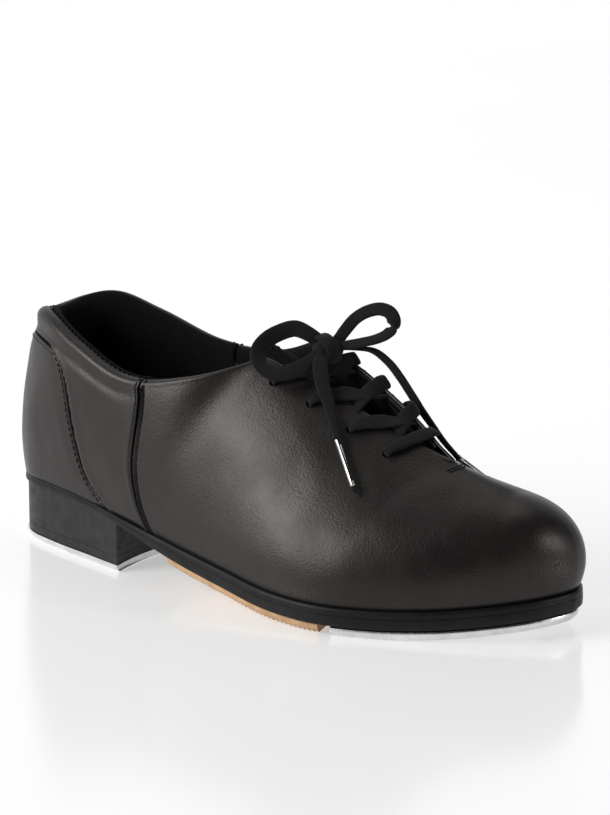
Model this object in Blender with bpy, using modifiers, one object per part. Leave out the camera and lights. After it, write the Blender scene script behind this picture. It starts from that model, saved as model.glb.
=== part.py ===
"""Tap shoe, right foot: every piece at its real size, toe along +X, medial side along +Y, up along +Z.

Sizes are in millimetres up to the moment a mesh is made, and MM turns them into metres.
"""

import math

import bmesh
import bpy
import numpy as np
from mathutils import Matrix

MM = 0.001

# ---- Overall sizes ----
LENGTH = 262.0
BALL_WIDTH = 92.0
TOE_SPRING = 5.0

# ---- Sole unit, from the ground up ----
TOE_TAP = 2.8
SOUND_BOARD = 0.7
OUTSOLE = 4.2
WELT = 2.4
HEEL_TAP = 2.5
HEEL_LIFT = 3.0
HEEL_BLOCK = 17.0
WAIST_SHARE = 0.4
SOLE_EDGE = 1.3
BALL_PAD = 2.3
INSOLE_BOARD = 1.8
SOCK_LINER = 1.2
FILLER = 1.6
FILLER_REAR = 152.0
WELT_WIDTH = 7.5
SHANK_THICK = 1.0
SHANK_WIDTH = 12.0
SHANK_START, SHANK_END = 58.0, 142.0
HEEL_BREAST = 74.0
TOE_TAP_REAR = 189.0
PAD_REAR, PAD_FRONT = 104.0, 184.0

# ---- Upper, each thickness through the layer ----
UPPER = 1.3
STIFFENER = 1.0
LINING = 0.8
COVER = 1.0
TONGUE = 2.6
ROLL_BACK, ROLL_SEAM, ROLL_CORNER = 4.0, 2.6, 1.2
EYELET = 3.6
EYELET_INSET = 7.0
LACE = 2.2
LACE_UNDER = 1.2
AGLET = 2.4
AGLET_LENGTH = 21.0
KNOT = (15.0, 13.0, 10.0)

# ---- Fasteners ----
SCREW_SHANK = 2.6
SCREW_HEAD = 5.6
NAIL_SHANK = 1.6
NAIL_HEAD = 3.4
NAIL_LENGTH = 15.0

# ---- Clearances ----
GAP = 0.35
HOLE_GAP = 0.3
# A hole's facets are turned by this much so that none lies along an edge of the plate it cuts.
CUTTER_TURN = 0.11
LACE_GAP = 0.8
COVER_GAP = 0.5
CROSS_GAP = 1.2
TONGUE_GAP = 4.2

# ---- Height of the feather line: the seat over the heel, the tread over the toe tap ----
TREAD_Z = TOE_TAP + SOUND_BOARD + OUTSOLE + WELT + 4 * GAP
SEAT_Z = HEEL_TAP + HEEL_LIFT + HEEL_BLOCK + WAIST_SHARE * (OUTSOLE + WELT) + 4 * GAP

# Station columns read: share of the way round from heel to toe, x in percent of LENGTH, y in percent of
# BALL_WIDTH. Both sides meet at the back of the heel and at the tip of the toe.
LATERAL_PLAN = (
    (0.000, 0.8, 1.1), (0.015, 0.9, -3.2), (0.04, 1.9, -10.3), (0.09, 5.3, -19.6), (0.16, 12.2, -26.1),
    (0.24, 21.4, -31.5), (0.33, 31.3, -37.0), (0.42, 41.2, -40.8), (0.52, 51.9, -45.1), (0.62, 62.2, -48.9),
    (0.70, 71.0, -46.7), (0.78, 79.4, -37.5), (0.85, 87.0, -25.0), (0.91, 93.1, -9.8), (0.96, 96.9, 4.3),
    (0.985, 98.2, 13.1), (1.000, 98.5, 18.5),
)
MEDIAL_PLAN = (
    (0.000, 0.8, 1.1), (0.015, 0.9, 5.4), (0.04, 1.9, 11.9), (0.09, 5.7, 20.7), (0.16, 13.0, 27.7),
    (0.24, 22.1, 29.3), (0.33, 32.1, 26.6), (0.42, 42.0, 25.5), (0.52, 51.9, 30.4), (0.62, 61.8, 40.2),
    (0.70, 71.0, 46.7), (0.78, 79.4, 50.0), (0.85, 87.0, 48.4), (0.91, 93.1, 40.8), (0.96, 96.9, 30.4),
    (0.985, 98.2, 23.7), (1.000, 98.5, 18.5),
)
# Percent of LENGTH, then how much of the heel rise is left there.
ARCH = (
    (0, 0.97), (12, 1.02), (22, 0.93), (31, 0.76), (41, 0.51), (52, 0.27), (62, 0.07), (67, 0.015), (71, 0.0),
    (75, 0.0), (100, 0.0),
)
# Percent of LENGTH, then how much of the toe spring is reached there.
SPRING = ((0, 0.0), (71, 0.0), (75, 0.0), (79.4, 0.04), (87, 0.28), (93.1, 0.62), (98.5, 1.0), (100, 1.1))
# Percent of LENGTH, then how thick the sole edge is there, as a share of its thickness at the tread.
SOLE_TAPER = ((0, 0.4), (27, 0.4), (31, 0.5), (41, 0.84), (52, 0.97), (62, 1.0), (100, 1.0))

CORNER = 0.46
THROAT = 0.70
POLE = 0.90
# Top line, back of the heel to the front corner: share round, x percent, y percent, mm over the feather.
LATERAL_TOP = (
    (0.00, 5.3, 0.8, 67.0), (0.015, 5.5, -3.6, 67.5), (0.05, 7.4, -13.0, 69.5),
    (0.11, 12.0, -22.0, 68.5), (0.18, 19.1, -28.0, 62.5),
    (0.26, 29.0, -31.0, 56.5), (0.36, 41.2, -27.5, 65.0), (0.46, 50.8, -10.9, 77.0),
)
MEDIAL_TOP = (
    (0.00, 5.3, 0.8, 67.0), (0.015, 5.5, 5.2, 67.5), (0.05, 6.9, 13.0, 69.5),
    (0.11, 11.2, 21.5, 71.5), (0.18, 18.5, 27.0, 66.5),
    (0.26, 29.0, 29.3, 61.0), (0.36, 42.7, 25.0, 67.5), (0.46, 54.6, 12.0, 82.5),
)
# Facing edges, corner to throat, then the ridge from the throat to the middle of the toe.
LATERAL_EDGE = (
    (0.46, 50.8, -10.9, 77.0), (0.54, 61.1, -6.5, 70.8), (0.62, 72.5, -2.2, 59.2), (0.70, 81.3, 3.3, 50.5),
)
MEDIAL_EDGE = (
    (0.46, 54.6, 12.0, 82.5), (0.54, 64.1, 9.2, 76.0), (0.62, 73.3, 6.5, 64.5), (0.70, 81.3, 3.3, 50.5),
)
RIDGE = ((0.70, 81.3, 3.3, 50.5), (0.77, 84.7, 5.4, 46.3), (0.84, 88.2, 8.7, 42.0), (0.90, 90.1, 12.0, 39.0))
# Side profile by share round: rise and bulge of the lower handle, reach and drop of the upper one.
PROFILE = (
    (0.00, 24, 4.0, 3, 16), (0.09, 24, 4.0, 3, 18), (0.24, 26, 3.0, 4, 16), (0.36, 24, 3.0, 7, 16),
    (0.46, 24, 3.0, 14, 10), (0.58, 24, 4.0, 19, 6.5), (0.70, 22, 5.0, 20, 4), (0.85, 20, 6.5, 20, 2.5),
    (1.00, 19, 7.5, 19, 3.5),
)
# Side seam and rear edge of the counter cover: height share, share round.
SIDE_SEAM = ((0.0, 0.371), (0.13, 0.352), (0.3, 0.332), (0.56, 0.312), (1.0, 0.295))
COVER_EDGE = (
    (0.0, 0.278), (0.1, 0.243), (0.2, 0.227), (0.35, 0.211), (0.5, 0.196), (0.65, 0.182), (0.78, 0.166),
    (0.85, 0.150), (0.885, 0.125),
)
COVER_TOP = 0.885
SEAM_HALF = 0.0009
BACK_SEAM = 0.0025
EYELET_ROWS = (0.488, 0.540, 0.590, 0.640)

# Free lace ends and loops of the bow: points chosen by hand, in millimetres in the shoe's own frame.
LOOP_MEDIAL = (
    (157, 9, 99), (153.5, 12, 107), (158, 15, 112.5), (166, 17, 114.5), (173.5, 18, 113),
    (176.5, 18.5, 108.5),
    (173, 18, 103.5), (168, 15.5, 100), (161.5, 10.5, 98.5),
)
LOOP_LATERAL = (
    (150, -6.5, 100), (150, -10, 105), (144.5, -12.5, 108), (138, -14, 105), (133, -16.5, 99.5),
    (132.5, -19.5, 92), (138, -21.5, 88.5), (146, -20.5, 87.8), (151, -15.5, 90), (150.5, -9.5, 94.5),
)
END_LATERAL = (
    (155, -7.5, 94), (160, -11, 87), (164.5, -13.4, 81.4), (169.5, -16.2, 75.2), (174, -18.8, 69.8),
)
END_MEDIAL = (
    (160.5, 9.5, 96.6), (167, 12.5, 96), (173, 14, 92.3), (178.5, 14.5, 87), (183.5, 14.5, 81.5),
    (188, 14.3, 77), (192.5, 14.2, 73), (198, 14, 69.5),
)
AGLET_LATERAL_TO = (184.5, -26.8, 52.8)
AGLET_MEDIAL_TO = (214, 15.5, 58.2)
KNOT_AT = (153.5, 1.5, 97.0)


# ---------------------------------------------------------------- curves and the shape of the last
def curve_through(stations, at):
    """Smooth curve through rows of (parameter, values...), read at each parameter in at."""
    table = np.asarray(stations, float)
    knots, values = table[:, 0], table[:, 1:]
    at = np.clip(np.atleast_1d(np.asarray(at, float)), knots[0], knots[-1])
    step = np.diff(knots)[:, None]
    slope = np.diff(values, axis=0) / step
    inner = (slope[:-1] * step[1:] + slope[1:] * step[:-1]) / (step[1:] + step[:-1])
    slope = np.vstack([slope[:1], inner, slope[-1:]])
    k = np.clip(np.searchsorted(knots, at, side="right") - 1, 0, len(knots) - 2)
    h = step[k]
    s = (at - knots[k])[:, None] / h
    start = (2 * s**3 - 3 * s**2 + 1) * values[k] + (s**3 - 2 * s**2 + s) * h * slope[k]
    end = (3 * s**2 - 2 * s**3) * values[k + 1] + (s**3 - s**2) * h * slope[k + 1]
    return start + end


def sole_edge(x):
    """Thickness of welt and outsole together at x, without the gap between them."""
    return (OUTSOLE + WELT) * curve_through(SOLE_TAPER, 100 * x / LENGTH)[:, 0]


def feather_z(x):
    """Height of the line where the upper meets the sole."""
    percent = 100 * np.atleast_1d(x) / LENGTH
    rise = (SEAT_Z - TREAD_Z) * curve_through(ARCH, percent)[:, 0]
    return TREAD_Z + rise + TOE_SPRING * curve_through(SPRING, percent)[:, 0]


def plan_point(side, t):
    """Feather line in plan, for shares t round one side: side -1 is lateral, 1 is medial."""
    plan = curve_through(LATERAL_PLAN if side < 0 else MEDIAL_PLAN, t)
    return plan * (LENGTH / 100, BALL_WIDTH / 100)


def feather(side, t):
    plan = plan_point(side, t)
    return np.column_stack([plan, feather_z(plan[:, 0])])


def outward(side, t):
    """Level direction that points away from the shoe at the feather line."""
    t = np.atleast_1d(t)
    ahead = plan_point(side, np.minimum(t + 0.002, 1)) - plan_point(side, np.maximum(t - 0.002, 0))
    out = np.column_stack([ahead[:, 1], -ahead[:, 0]]) * -side
    out = np.where((t > 0.999)[:, None], (1.0, 0.0), out)
    out = np.where((t < 0.001)[:, None], (-1.0, 0.0), out)
    out = out / np.linalg.norm(out, axis=1)[:, None]
    return np.column_stack([out, np.zeros(len(out))])


def over_feather(stations, t):
    """Reads a table of x percent, y percent and height over the feather as points."""
    row = curve_through(stations, t) * (LENGTH / 100, BALL_WIDTH / 100, 1.0)
    row[:, 2] += feather_z(row[:, 0])
    return row


def roll_radius(t):
    return np.interp(t, (0, 0.3, CORNER), (ROLL_BACK, ROLL_SEAM, ROLL_CORNER))


def rim(side, t):
    """Upper end of each side profile: under the rolled top line, along the facing, then on the ridge."""
    top, edge = (LATERAL_TOP, LATERAL_EDGE) if side < 0 else (MEDIAL_TOP, MEDIAL_EDGE)
    t = np.atleast_1d(t)
    drop = roll_radius(t) * np.clip((THROAT - t) / (THROAT - CORNER), 0, 1) ** 4
    drop = np.where(t <= CORNER, roll_radius(t), drop)[:, None]
    points = np.where((t <= CORNER)[:, None], over_feather(top, t), over_feather(edge, t))
    points = points + outward(side, t) * drop - np.array([0, 0, 1.0]) * drop
    return np.where((t > THROAT)[:, None], over_feather(RIDGE, t), points)


def skin(side, t, v):
    """Outer surface of the upper: share t round one side, share v up the profile."""
    t = np.atleast_1d(np.asarray(t, float))
    v = np.broadcast_to(np.asarray(v, float), t.shape)[:, None]
    low, high, out = feather(side, t), rim(side, t), outward(side, t)
    rise, bulge, reach, drop = (column[:, None] for column in curve_through(PROFILE, t).T)
    up = np.array([0, 0, 1.0])
    away = np.column_stack([(low - high)[:, :2], np.zeros(len(t))])
    away = away / np.maximum(np.linalg.norm(away, axis=1)[:, None], 1e-6)
    mix = np.clip((t - 0.3) / 0.15, 0, 1)[:, None]
    mix = mix * mix * (3 - 2 * mix)
    away = away * mix + out * (1 - mix)
    away = away / np.linalg.norm(away, axis=1)[:, None]
    first = low + out * bulge + up * rise
    second = high + away * reach - up * drop
    w = 1 - v
    return w**3 * low + 3 * w**2 * v * first + 3 * w * v * v * second + v**3 * high


def side_normal(side, t, v):
    v = np.minimum(v, 0.99)
    along = skin(side, np.minimum(t + 0.001, 1), v) - skin(side, np.maximum(t - 0.001, 0), v)
    upward = skin(side, t, v + 0.001) - skin(side, t, np.maximum(v - 0.001, 0))
    normal = np.cross(along, upward) * -side
    return normal / np.linalg.norm(normal, axis=1)[:, None]


def skin_normal(side, t, v):
    """Outward normal. On the ridge the two sides share one, so that deeper layers meet there too."""
    t = np.atleast_1d(np.asarray(t, float))
    v = np.broadcast_to(np.asarray(v, float), t.shape)
    ridge_t = np.clip(t, THROAT, POLE)
    ridge = side_normal(-1, ridge_t, np.ones_like(t)) + side_normal(1, ridge_t, np.ones_like(t))
    ridge = ridge / np.linalg.norm(ridge, axis=1)[:, None]
    on_ridge = (t >= THROAT - 1e-9) & (v > 0.999)
    return np.where(on_ridge[:, None], ridge, side_normal(side, t, v))


def over_skin(side, t, v, height):
    """Points that lie height millimetres outside the skin, or inside it where height is negative."""
    height = np.broadcast_to(np.asarray(height, float), np.atleast_1d(t).shape)
    return skin(side, t, v) + skin_normal(side, t, v) * height[:, None]


def cover_step(t, v):
    """How far the layers under the counter cover sit back, easing to nothing just past its edge."""
    past = np.clip((curve_through(COVER_EDGE, v)[:, 0] + 0.022 - t) / 0.016, 0, 1)
    above = np.clip((COVER_TOP + 0.07 - v) / 0.05, 0, 1)
    step = past * above
    return (COVER + COVER_GAP) * step * step * (3 - 2 * step)


def seam_share(q, v):
    """Turns grid column q into a share round, so that a column line runs along the side seam."""
    seam = curve_through(SIDE_SEAM, v)[:, 0]
    flat = SIDE_SEAM[-1][1]
    behind = q / flat * seam
    ahead = seam + (q - flat) / (CORNER - flat) * (CORNER - seam)
    return np.where(q <= flat, behind, np.where(q <= CORNER, ahead, q))


# ---------------------------------------------------------------- meshes
def material(name, colour, roughness, metallic=0.0):
    made = bpy.data.materials.new(name)
    made.use_nodes = True
    shader = made.node_tree.nodes["Principled BSDF"]
    shader.inputs["Base Color"].default_value = (*colour, 1.0)
    shader.inputs["Roughness"].default_value = roughness
    shader.inputs["Metallic"].default_value = metallic
    made.diffuse_color = (*colour, 1.0)
    return made


def add_object(name, mesh, finish, collection, parent):
    obj = bpy.data.objects.new(name, mesh)
    collection.objects.link(obj)
    obj.parent = parent
    if finish is not None:
        mesh.materials.append(finish)
    return obj


def settle(obj, origin):
    """Moves the object's origin to a point given in millimetres and leaves its shape where it is."""
    place = np.asarray(origin, float) * MM
    shift = place - np.array(obj.location)
    for vertex in obj.data.vertices:
        vertex.co = np.array(vertex.co) - shift
    obj.location = place
    return obj


def settle_middle(obj):
    """Moves the object's origin to the mean of its corners."""
    middle = np.mean([vertex.co for vertex in obj.data.vertices], axis=0) + np.array(obj.location)
    return settle(obj, middle / MM)


def grid_mesh(name, columns, rows, place, weld=5e-6):
    """A grid whose corner at column i, row j goes to place(i, j), given in millimetres."""
    bm = bmesh.new()
    bmesh.ops.create_grid(bm, x_segments=columns - 1, y_segments=rows - 1, size=1.0)
    i = np.array([round((vert.co.x + 1) / 2 * (columns - 1)) for vert in bm.verts])
    j = np.array([round((vert.co.y + 1) / 2 * (rows - 1)) for vert in bm.verts])
    for vert, point in zip(bm.verts, place(i, j), strict=True):
        vert.co = point * MM
    bmesh.ops.remove_doubles(bm, verts=bm.verts, dist=weld)
    bmesh.ops.dissolve_degenerate(bm, edges=bm.edges, dist=weld)
    bmesh.ops.recalc_face_normals(bm, faces=bm.faces)
    mesh = bpy.data.meshes.new(name)
    bm.to_mesh(mesh)
    bm.free()
    return mesh


def face_outward(mesh, centre):
    """Turns an open shell so that its faces look away from a point inside the shoe."""
    middle = np.asarray(centre) * MM
    away = 0.0
    for face in mesh.polygons:
        away += (np.array(face.center) - middle) @ np.array(face.normal) * face.area
    if away < 0:
        mesh.flip_normals()


def shell(name, mesh, thickness, finish):
    """An open surface made solid toward the inside of the shoe."""
    face_outward(mesh, (LENGTH / 2, 0, TREAD_Z + 25))
    obj = add_object(name, mesh, finish, PARTS, ROOT)
    solid = obj.modifiers.new("Thickness", "SOLIDIFY")
    solid.thickness = thickness * MM
    solid.offset = -1.0
    for face in mesh.polygons:
        face.use_smooth = True
    return settle_middle(obj)


def plate(name, finish, share_from, share_to, inset, top, bottom, bow=0.0, squeeze=0.0, strips=4):
    """A flat-lying piece cut to the plan of the last, between two shares of the way from heel to toe.

    top and bottom give the height at x. bow moves the middle of the piece's straight ends along x, and
    squeeze draws the lower outline in further than the upper one.
    """
    count = max(9, round(26 * (share_to - share_from)))
    shares = np.linspace(share_from, share_to, count)
    if share_from == 0:
        shares = np.concatenate([[0, 0.012], shares[1:]])
    if share_to == 1:
        shares = np.concatenate([shares[:-1], [0.988, 1]])

    def outline(side, pull):
        ring = plan_point(side, shares) - outward(side, shares)[:, :2] * pull
        meet = (plan_point(-1, shares) + plan_point(1, shares)) / 2
        ends = (shares <= 0.001) | (shares >= 0.999)
        pulled = meet + np.where(shares < 0.5, 1, -1)[:, None] * (pull, 0)
        return np.where(ends[:, None], pulled, ring)

    def level(pull, height):
        left, right = outline(-1, pull), outline(1, pull)

        def place(i, j):
            w = (j / strips)[:, None]
            flat = left[i] * (1 - w) + right[i] * w
            arc = bow * 4 * w[:, 0] * (1 - w[:, 0])
            fade_start = np.clip(1 - i / 3, 0, 1) * (share_from > 0)
            fade_end = np.clip(1 - (len(shares) - 1 - i) / 3, 0, 1) * (share_to < 1)
            flat[:, 0] += arc * (fade_start + fade_end)
            return np.column_stack([flat, height(flat[:, 0])])

        return place

    upper = level(inset, top)
    lower = level(inset + squeeze, bottom)
    mesh = grid_mesh(name, len(shares), strips + 1, upper)
    bm = bmesh.new()
    bm.from_mesh(mesh)
    below = grid_mesh(name + "_under", len(shares), strips + 1, lower)
    targets = [np.array(vertex.co) for vertex in below.vertices]
    bpy.data.meshes.remove(below)
    originals = list(bm.verts)
    extruded = bmesh.ops.extrude_face_region(bm, geom=bm.faces[:] + bm.edges[:] + bm.verts[:])
    copies = [item for item in extruded["geom"] if isinstance(item, bmesh.types.BMVert)]
    for copy in copies:
        nearest = min(originals, key=lambda vert: (vert.co - copy.co).length)
        copy.co = targets[nearest.index]
    bmesh.ops.recalc_face_normals(bm, faces=bm.faces)
    bm.to_mesh(mesh)
    bm.free()
    obj = add_object(name, mesh, finish, PARTS, ROOT)
    return settle_middle(obj)


def tube(name, points, width, finish, spacing=3.0):
    """A round cord through hand-set points, as a curve with a bevel and filled caps."""
    points = np.asarray(points, float)
    reach = np.concatenate([[0], np.cumsum(np.linalg.norm(np.diff(points, axis=0), axis=1))])
    count = max(4, round(reach[-1] / spacing) + 1)
    smooth = curve_through(np.column_stack([reach, points]), np.linspace(0, reach[-1], count))
    start = smooth[0].copy()
    data = bpy.data.curves.new(name, "CURVE")
    data.dimensions = "3D"
    data.bevel_depth = width / 2 * MM
    data.bevel_resolution = 2
    data.use_fill_caps = True
    spline = data.splines.new("POLY")
    spline.points.add(count - 1)
    for point, place in zip(spline.points, smooth, strict=True):
        point.co = (*((place - start) * MM), 1.0)
    obj = add_object(name, data, finish, PARTS, ROOT)
    obj.location = start * MM
    return obj


def turned(name, profile, at, finish, steps=12, flip=False):
    """A turned piece: a profile of (radius, height) in millimetres swept about the vertical axis."""
    bm = bmesh.new()
    rail = [bm.verts.new((radius * MM, 0, height * MM)) for radius, height in profile]
    for low, high in zip(rail, rail[1:], strict=False):
        bm.edges.new((low, high))
    mesh = bpy.data.meshes.new(name)
    bm.to_mesh(mesh)
    bm.free()
    obj = add_object(name, mesh, finish, PARTS, ROOT)
    obj.location = np.asarray(at) * MM
    sweep = obj.modifiers.new("Turn", "SCREW")
    sweep.steps = steps
    sweep.render_steps = steps
    sweep.use_merge_vertices = True
    sweep.merge_threshold = 0.00001
    sweep.use_normal_calculate = True
    sweep.use_normal_flip = flip
    return obj


def drill(target, at, radius, low, high, direction=(0, 0, 1)):
    """Cuts a round hole along a direction through the point at, from low to high millimetres along it."""
    axis = np.asarray(direction, float) / np.linalg.norm(direction)
    middle = (np.asarray(at) + axis * (low + high) / 2) * MM
    bpy.ops.mesh.primitive_cylinder_add(
        vertices=14, radius=radius * MM, depth=(high - low) * MM, location=middle
    )
    cutter = bpy.context.object
    cutter.name = f"cut_{target.name}_{len(CUTTERS.objects)}"
    tilt = math.acos(max(-1.0, min(1.0, axis[2])))
    cutter.rotation_euler = (0, tilt, math.atan2(axis[1], axis[0]) + CUTTER_TURN)
    for owner in list(cutter.users_collection):
        owner.objects.unlink(cutter)
    CUTTERS.objects.link(cutter)
    cutter.parent = ROOT
    cutter.display_type = "WIRE"
    cutter.hide_render = True
    cut = target.modifiers.new("Hole", "BOOLEAN")
    cut.operation = "DIFFERENCE"
    cut.solver = "EXACT"
    cut.object = cutter


# ---------------------------------------------------------------- the upper
def loop_place(loop, rows, depth, warp=True):
    """Placement for a grid round the upper. loop holds signed columns, negative on the lateral side."""
    loop, rows = np.asarray(loop, float), np.asarray(rows, float)

    def place(i, j):
        q, v = loop[i], rows[j]
        t = seam_share(np.abs(q), v) if warp else np.abs(q)
        out = np.empty((len(q), 3))
        for side in (-1, 1):
            mine = np.sign(q) == side
            if side < 0:
                mine = mine | (q == 0)
            if mine.any():
                set_back = depth + cover_step(t[mine], v[mine])
                out[mine] = over_skin(side, t[mine], v[mine], -set_back)
        return out

    return place


WALL_ROWS = (0, 0.12, 0.27, 0.43, 0.6, 0.76, 0.9, 1.0)
STIFF_DEPTH = UPPER + GAP
LINING_DEPTH = UPPER + STIFFENER + 2 * GAP
FRONT_COLUMNS = (
    0.335, 0.375, 0.42, 0.46, 0.488, 0.515, 0.54, 0.565, 0.59, 0.615, 0.64, 0.67, 0.70, 0.74, 0.78, 0.82, 0.855,
    0.89, 0.92, 0.95, 0.975,
)
SEAM_COLUMN = SIDE_SEAM[-1][1]


def front_loop(start):
    """Columns of a piece that goes round the toe, from one side seam to the other."""
    side = (start,) + tuple(c for c in FRONT_COLUMNS if c > start)
    return [-c for c in side] + [-1.0] + [c for c in reversed(side)]


def make_vamp():
    loop = front_loop(SEAM_COLUMN + SEAM_HALF)
    mesh = grid_mesh("vamp", len(loop), len(WALL_ROWS), loop_place(loop, WALL_ROWS, 0))
    return shell("vamp", mesh, UPPER, LEATHER)


def make_vamp_lining():
    rows = (0.03, 0.27, 0.6, 0.83, 1.0)
    loop = front_loop(SEAM_COLUMN + SEAM_HALF)
    mesh = grid_mesh("vamp_lining", len(loop), len(rows), loop_place(loop, rows, LINING_DEPTH))
    return shell("vamp_lining", mesh, LINING, LINING_CLOTH)


def roll_point(side, t, turn, drop=0.0):
    """Point on the rolled top line: turn goes from 0 on the outside to 180 degrees on the inside."""
    radius = roll_radius(t)[:, None]
    out = outward(side, t)
    angle = np.radians(turn)[:, None]
    up = np.array([0, 0, 1.0])
    centre = rim(side, t) - out * radius
    rise = radius * np.sin(angle) - np.asarray(drop)[:, None]
    return centre + out * radius * np.cos(angle) + up * rise


def make_quarter(name, side):
    """Rear side panel: up the outside, over the padded roll and a little way down the inside."""
    behind = np.linspace(0, 1, 9)
    ahead = np.linspace(0, 1, 4)
    walls = np.array([0, 0.12, 0.27, 0.43, 0.6, 0.76, COVER_TOP + 0.02, COVER_TOP + 0.07, 1.0])
    turns = np.array([0, 30, 60, 90, 120, 150, 180, 180.0])
    drops = np.array([0, 0, 0, 0, 0, 0, 0, 4.5])
    last = len(walls) - 1

    def place(i, j):
        v = walls[np.minimum(j, last)]
        edge = curve_through(COVER_EDGE, v)[:, 0]
        seam = curve_through(SIDE_SEAM, v)[:, 0] - SEAM_HALF
        under = BACK_SEAM + behind[np.minimum(i, 8)] * (edge + 0.006 - BACK_SEAM)
        clear = edge + 0.022 + ahead[np.maximum(i - 9, 0)] * (seam - edge - 0.022)
        t = np.where(i < 9, under, clear)
        wall = over_skin(side, t, v, -cover_step(t, v))
        k = np.maximum(j - last, 0)
        return np.where((j >= last)[:, None], roll_point(side, t, turns[k], drops[k]), wall)

    mesh = grid_mesh(name, len(behind) + len(ahead), last + len(turns), place)
    return shell(name, mesh, UPPER, LEATHER)


def rear_loop(limit, step=0.03):
    side = list(np.arange(0, limit - 0.6 * step, step)) + [limit]
    return [-c for c in reversed(side)] + side[1:]


def make_quarter_lining():
    """Cloth lining round the heel: it leans inward toward the top to leave room for the collar foam."""
    loop = np.array(rear_loop(SEAM_COLUMN - SEAM_HALF))
    rows = np.array((0.03, 0.12, 0.27, 0.43, 0.6, 0.76, 0.87))

    def place(i, j):
        q, v = loop[i], rows[j]
        t = seam_share(np.abs(q), v)
        out = np.empty((len(q), 3))
        for side in (-1, 1):
            mine = (q < 0) | (q == 0) if side < 0 else q > 0
            rise = np.clip((v[mine] - 0.5) / 0.37, 0, 1)
            lean = (2 * roll_radius(t[mine]) - LINING_DEPTH - 0.4) * rise * rise * (3 - 2 * rise)
            depth = LINING_DEPTH + np.maximum(cover_step(t[mine], v[mine]), np.maximum(lean, 0))
            out[mine] = over_skin(side, t[mine], v[mine], -depth)
        return out

    mesh = grid_mesh("quarter_lining", len(loop), len(rows), place)
    return shell("quarter_lining", mesh, LINING, LINING_CLOTH)


def make_collar_foam():
    """Foam roll inside the top line, from one side seam to the other."""
    loop = np.array(rear_loop(SEAM_COLUMN - 0.012, step=0.028))
    around = 8

    def place(i, j):
        out = np.empty((len(i), 3))
        for side in (-1, 1):
            mine = loop[i] <= 0 if side < 0 else loop[i] > 0
            if not mine.any():
                continue
            t = np.abs(loop[i][mine])
            radius = roll_radius(t) - UPPER - GAP - 0.35
            angle = 2 * np.pi * j[mine] / around
            middle = rim(side, t) - outward(side, t) * roll_radius(t)[:, None]
            up = np.array([0, 0, 1.0])
            across = outward(side, t) * (radius * np.cos(angle))[:, None]
            tall = np.where(np.sin(angle) < 0, radius + 2.5, radius) * np.sin(angle)
            out[mine] = middle + across + up * tall[:, None]
        return out

    mesh = grid_mesh("collar_foam", len(loop), around + 1, place)
    bm = bmesh.new()
    bm.from_mesh(mesh)
    bmesh.ops.holes_fill(bm, edges=[edge for edge in bm.edges if edge.is_boundary], sides=0)
    bmesh.ops.recalc_face_normals(bm, faces=bm.faces)
    bm.to_mesh(mesh)
    bm.free()
    obj = add_object("collar_foam", mesh, FOAM, PARTS, ROOT)
    return settle_middle(obj)


def make_counter_cover():
    across = np.linspace(-1, 1, 23)
    rows = (0, 0.12, 0.27, 0.43, 0.6, 0.76, 0.84, COVER_TOP)

    def place(i, j):
        v = np.asarray(rows)[j]
        q = across[i] * curve_through(COVER_EDGE, v)[:, 0]
        out = np.empty((len(q), 3))
        for side in (-1, 1):
            mine = q <= 0 if side < 0 else q > 0
            out[mine] = over_skin(side, np.abs(q[mine]), v[mine], 0.0)
        return out

    mesh = grid_mesh("counter_cover", len(across), len(rows), place)
    return shell("counter_cover", mesh, COVER, LEATHER)


def make_heel_counter():
    """Stiff cup round the heel, between the quarters and the lining, kept inside the cover's outline."""
    across = np.linspace(-1, 1, 17)
    rows = np.array([0.03, 0.12, 0.27, 0.43, 0.6])
    depth = STIFF_DEPTH + COVER + COVER_GAP + 0.03

    def place(i, j):
        q = across[i] * (curve_through(COVER_EDGE, rows[j])[:, 0] - 0.02)
        out = np.empty((len(q), 3))
        for side in (-1, 1):
            mine = q <= 0 if side < 0 else q > 0
            out[mine] = over_skin(side, np.abs(q[mine]), rows[j][mine], -depth)
        return out

    mesh = grid_mesh("heel_counter", len(across), len(rows), place)
    return shell("heel_counter", mesh, STIFFENER, FIBREBOARD)


def make_toe_puff():
    loop = front_loop(FRONT_COLUMNS[-5])
    rows = (0.03,) + WALL_ROWS[1:]
    mesh = grid_mesh("toe_puff", len(loop), len(rows), loop_place(loop, rows, STIFF_DEPTH))
    return shell("toe_puff", mesh, STIFFENER, FIBREBOARD)


def eyelet_share(side, t):
    """Height share whose distance from the facing edge, measured over the skin, is EYELET_INSET."""
    shares = np.linspace(1.0, 0.6, 81)
    walk = skin(side, np.full(81, t), shares)
    run = np.concatenate([[0], np.cumsum(np.linalg.norm(np.diff(walk, axis=0), axis=1))])
    return float(np.interp(EYELET_INSET, run, shares))


def eyelet(side, row):
    """Centre and outward direction of one lace hole."""
    t = EYELET_ROWS[row] + (0.012 if side > 0 else 0.0)
    v = eyelet_share(side, t)
    return skin(side, [t], [v])[0], skin_normal(side, [t], [v])[0], t, v


def make_eyelet_stay(name, side):
    columns = [c for c in FRONT_COLUMNS if CORNER - 0.001 < c < THROAT - 0.02]
    rows = (0.76, 0.9, 1.0)
    loop = [side * c for c in columns]
    mesh = grid_mesh(name, len(loop), len(rows), loop_place(loop, rows, STIFF_DEPTH))
    return shell(name, mesh, STIFFENER * 0.8, FIBREBOARD)


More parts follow.
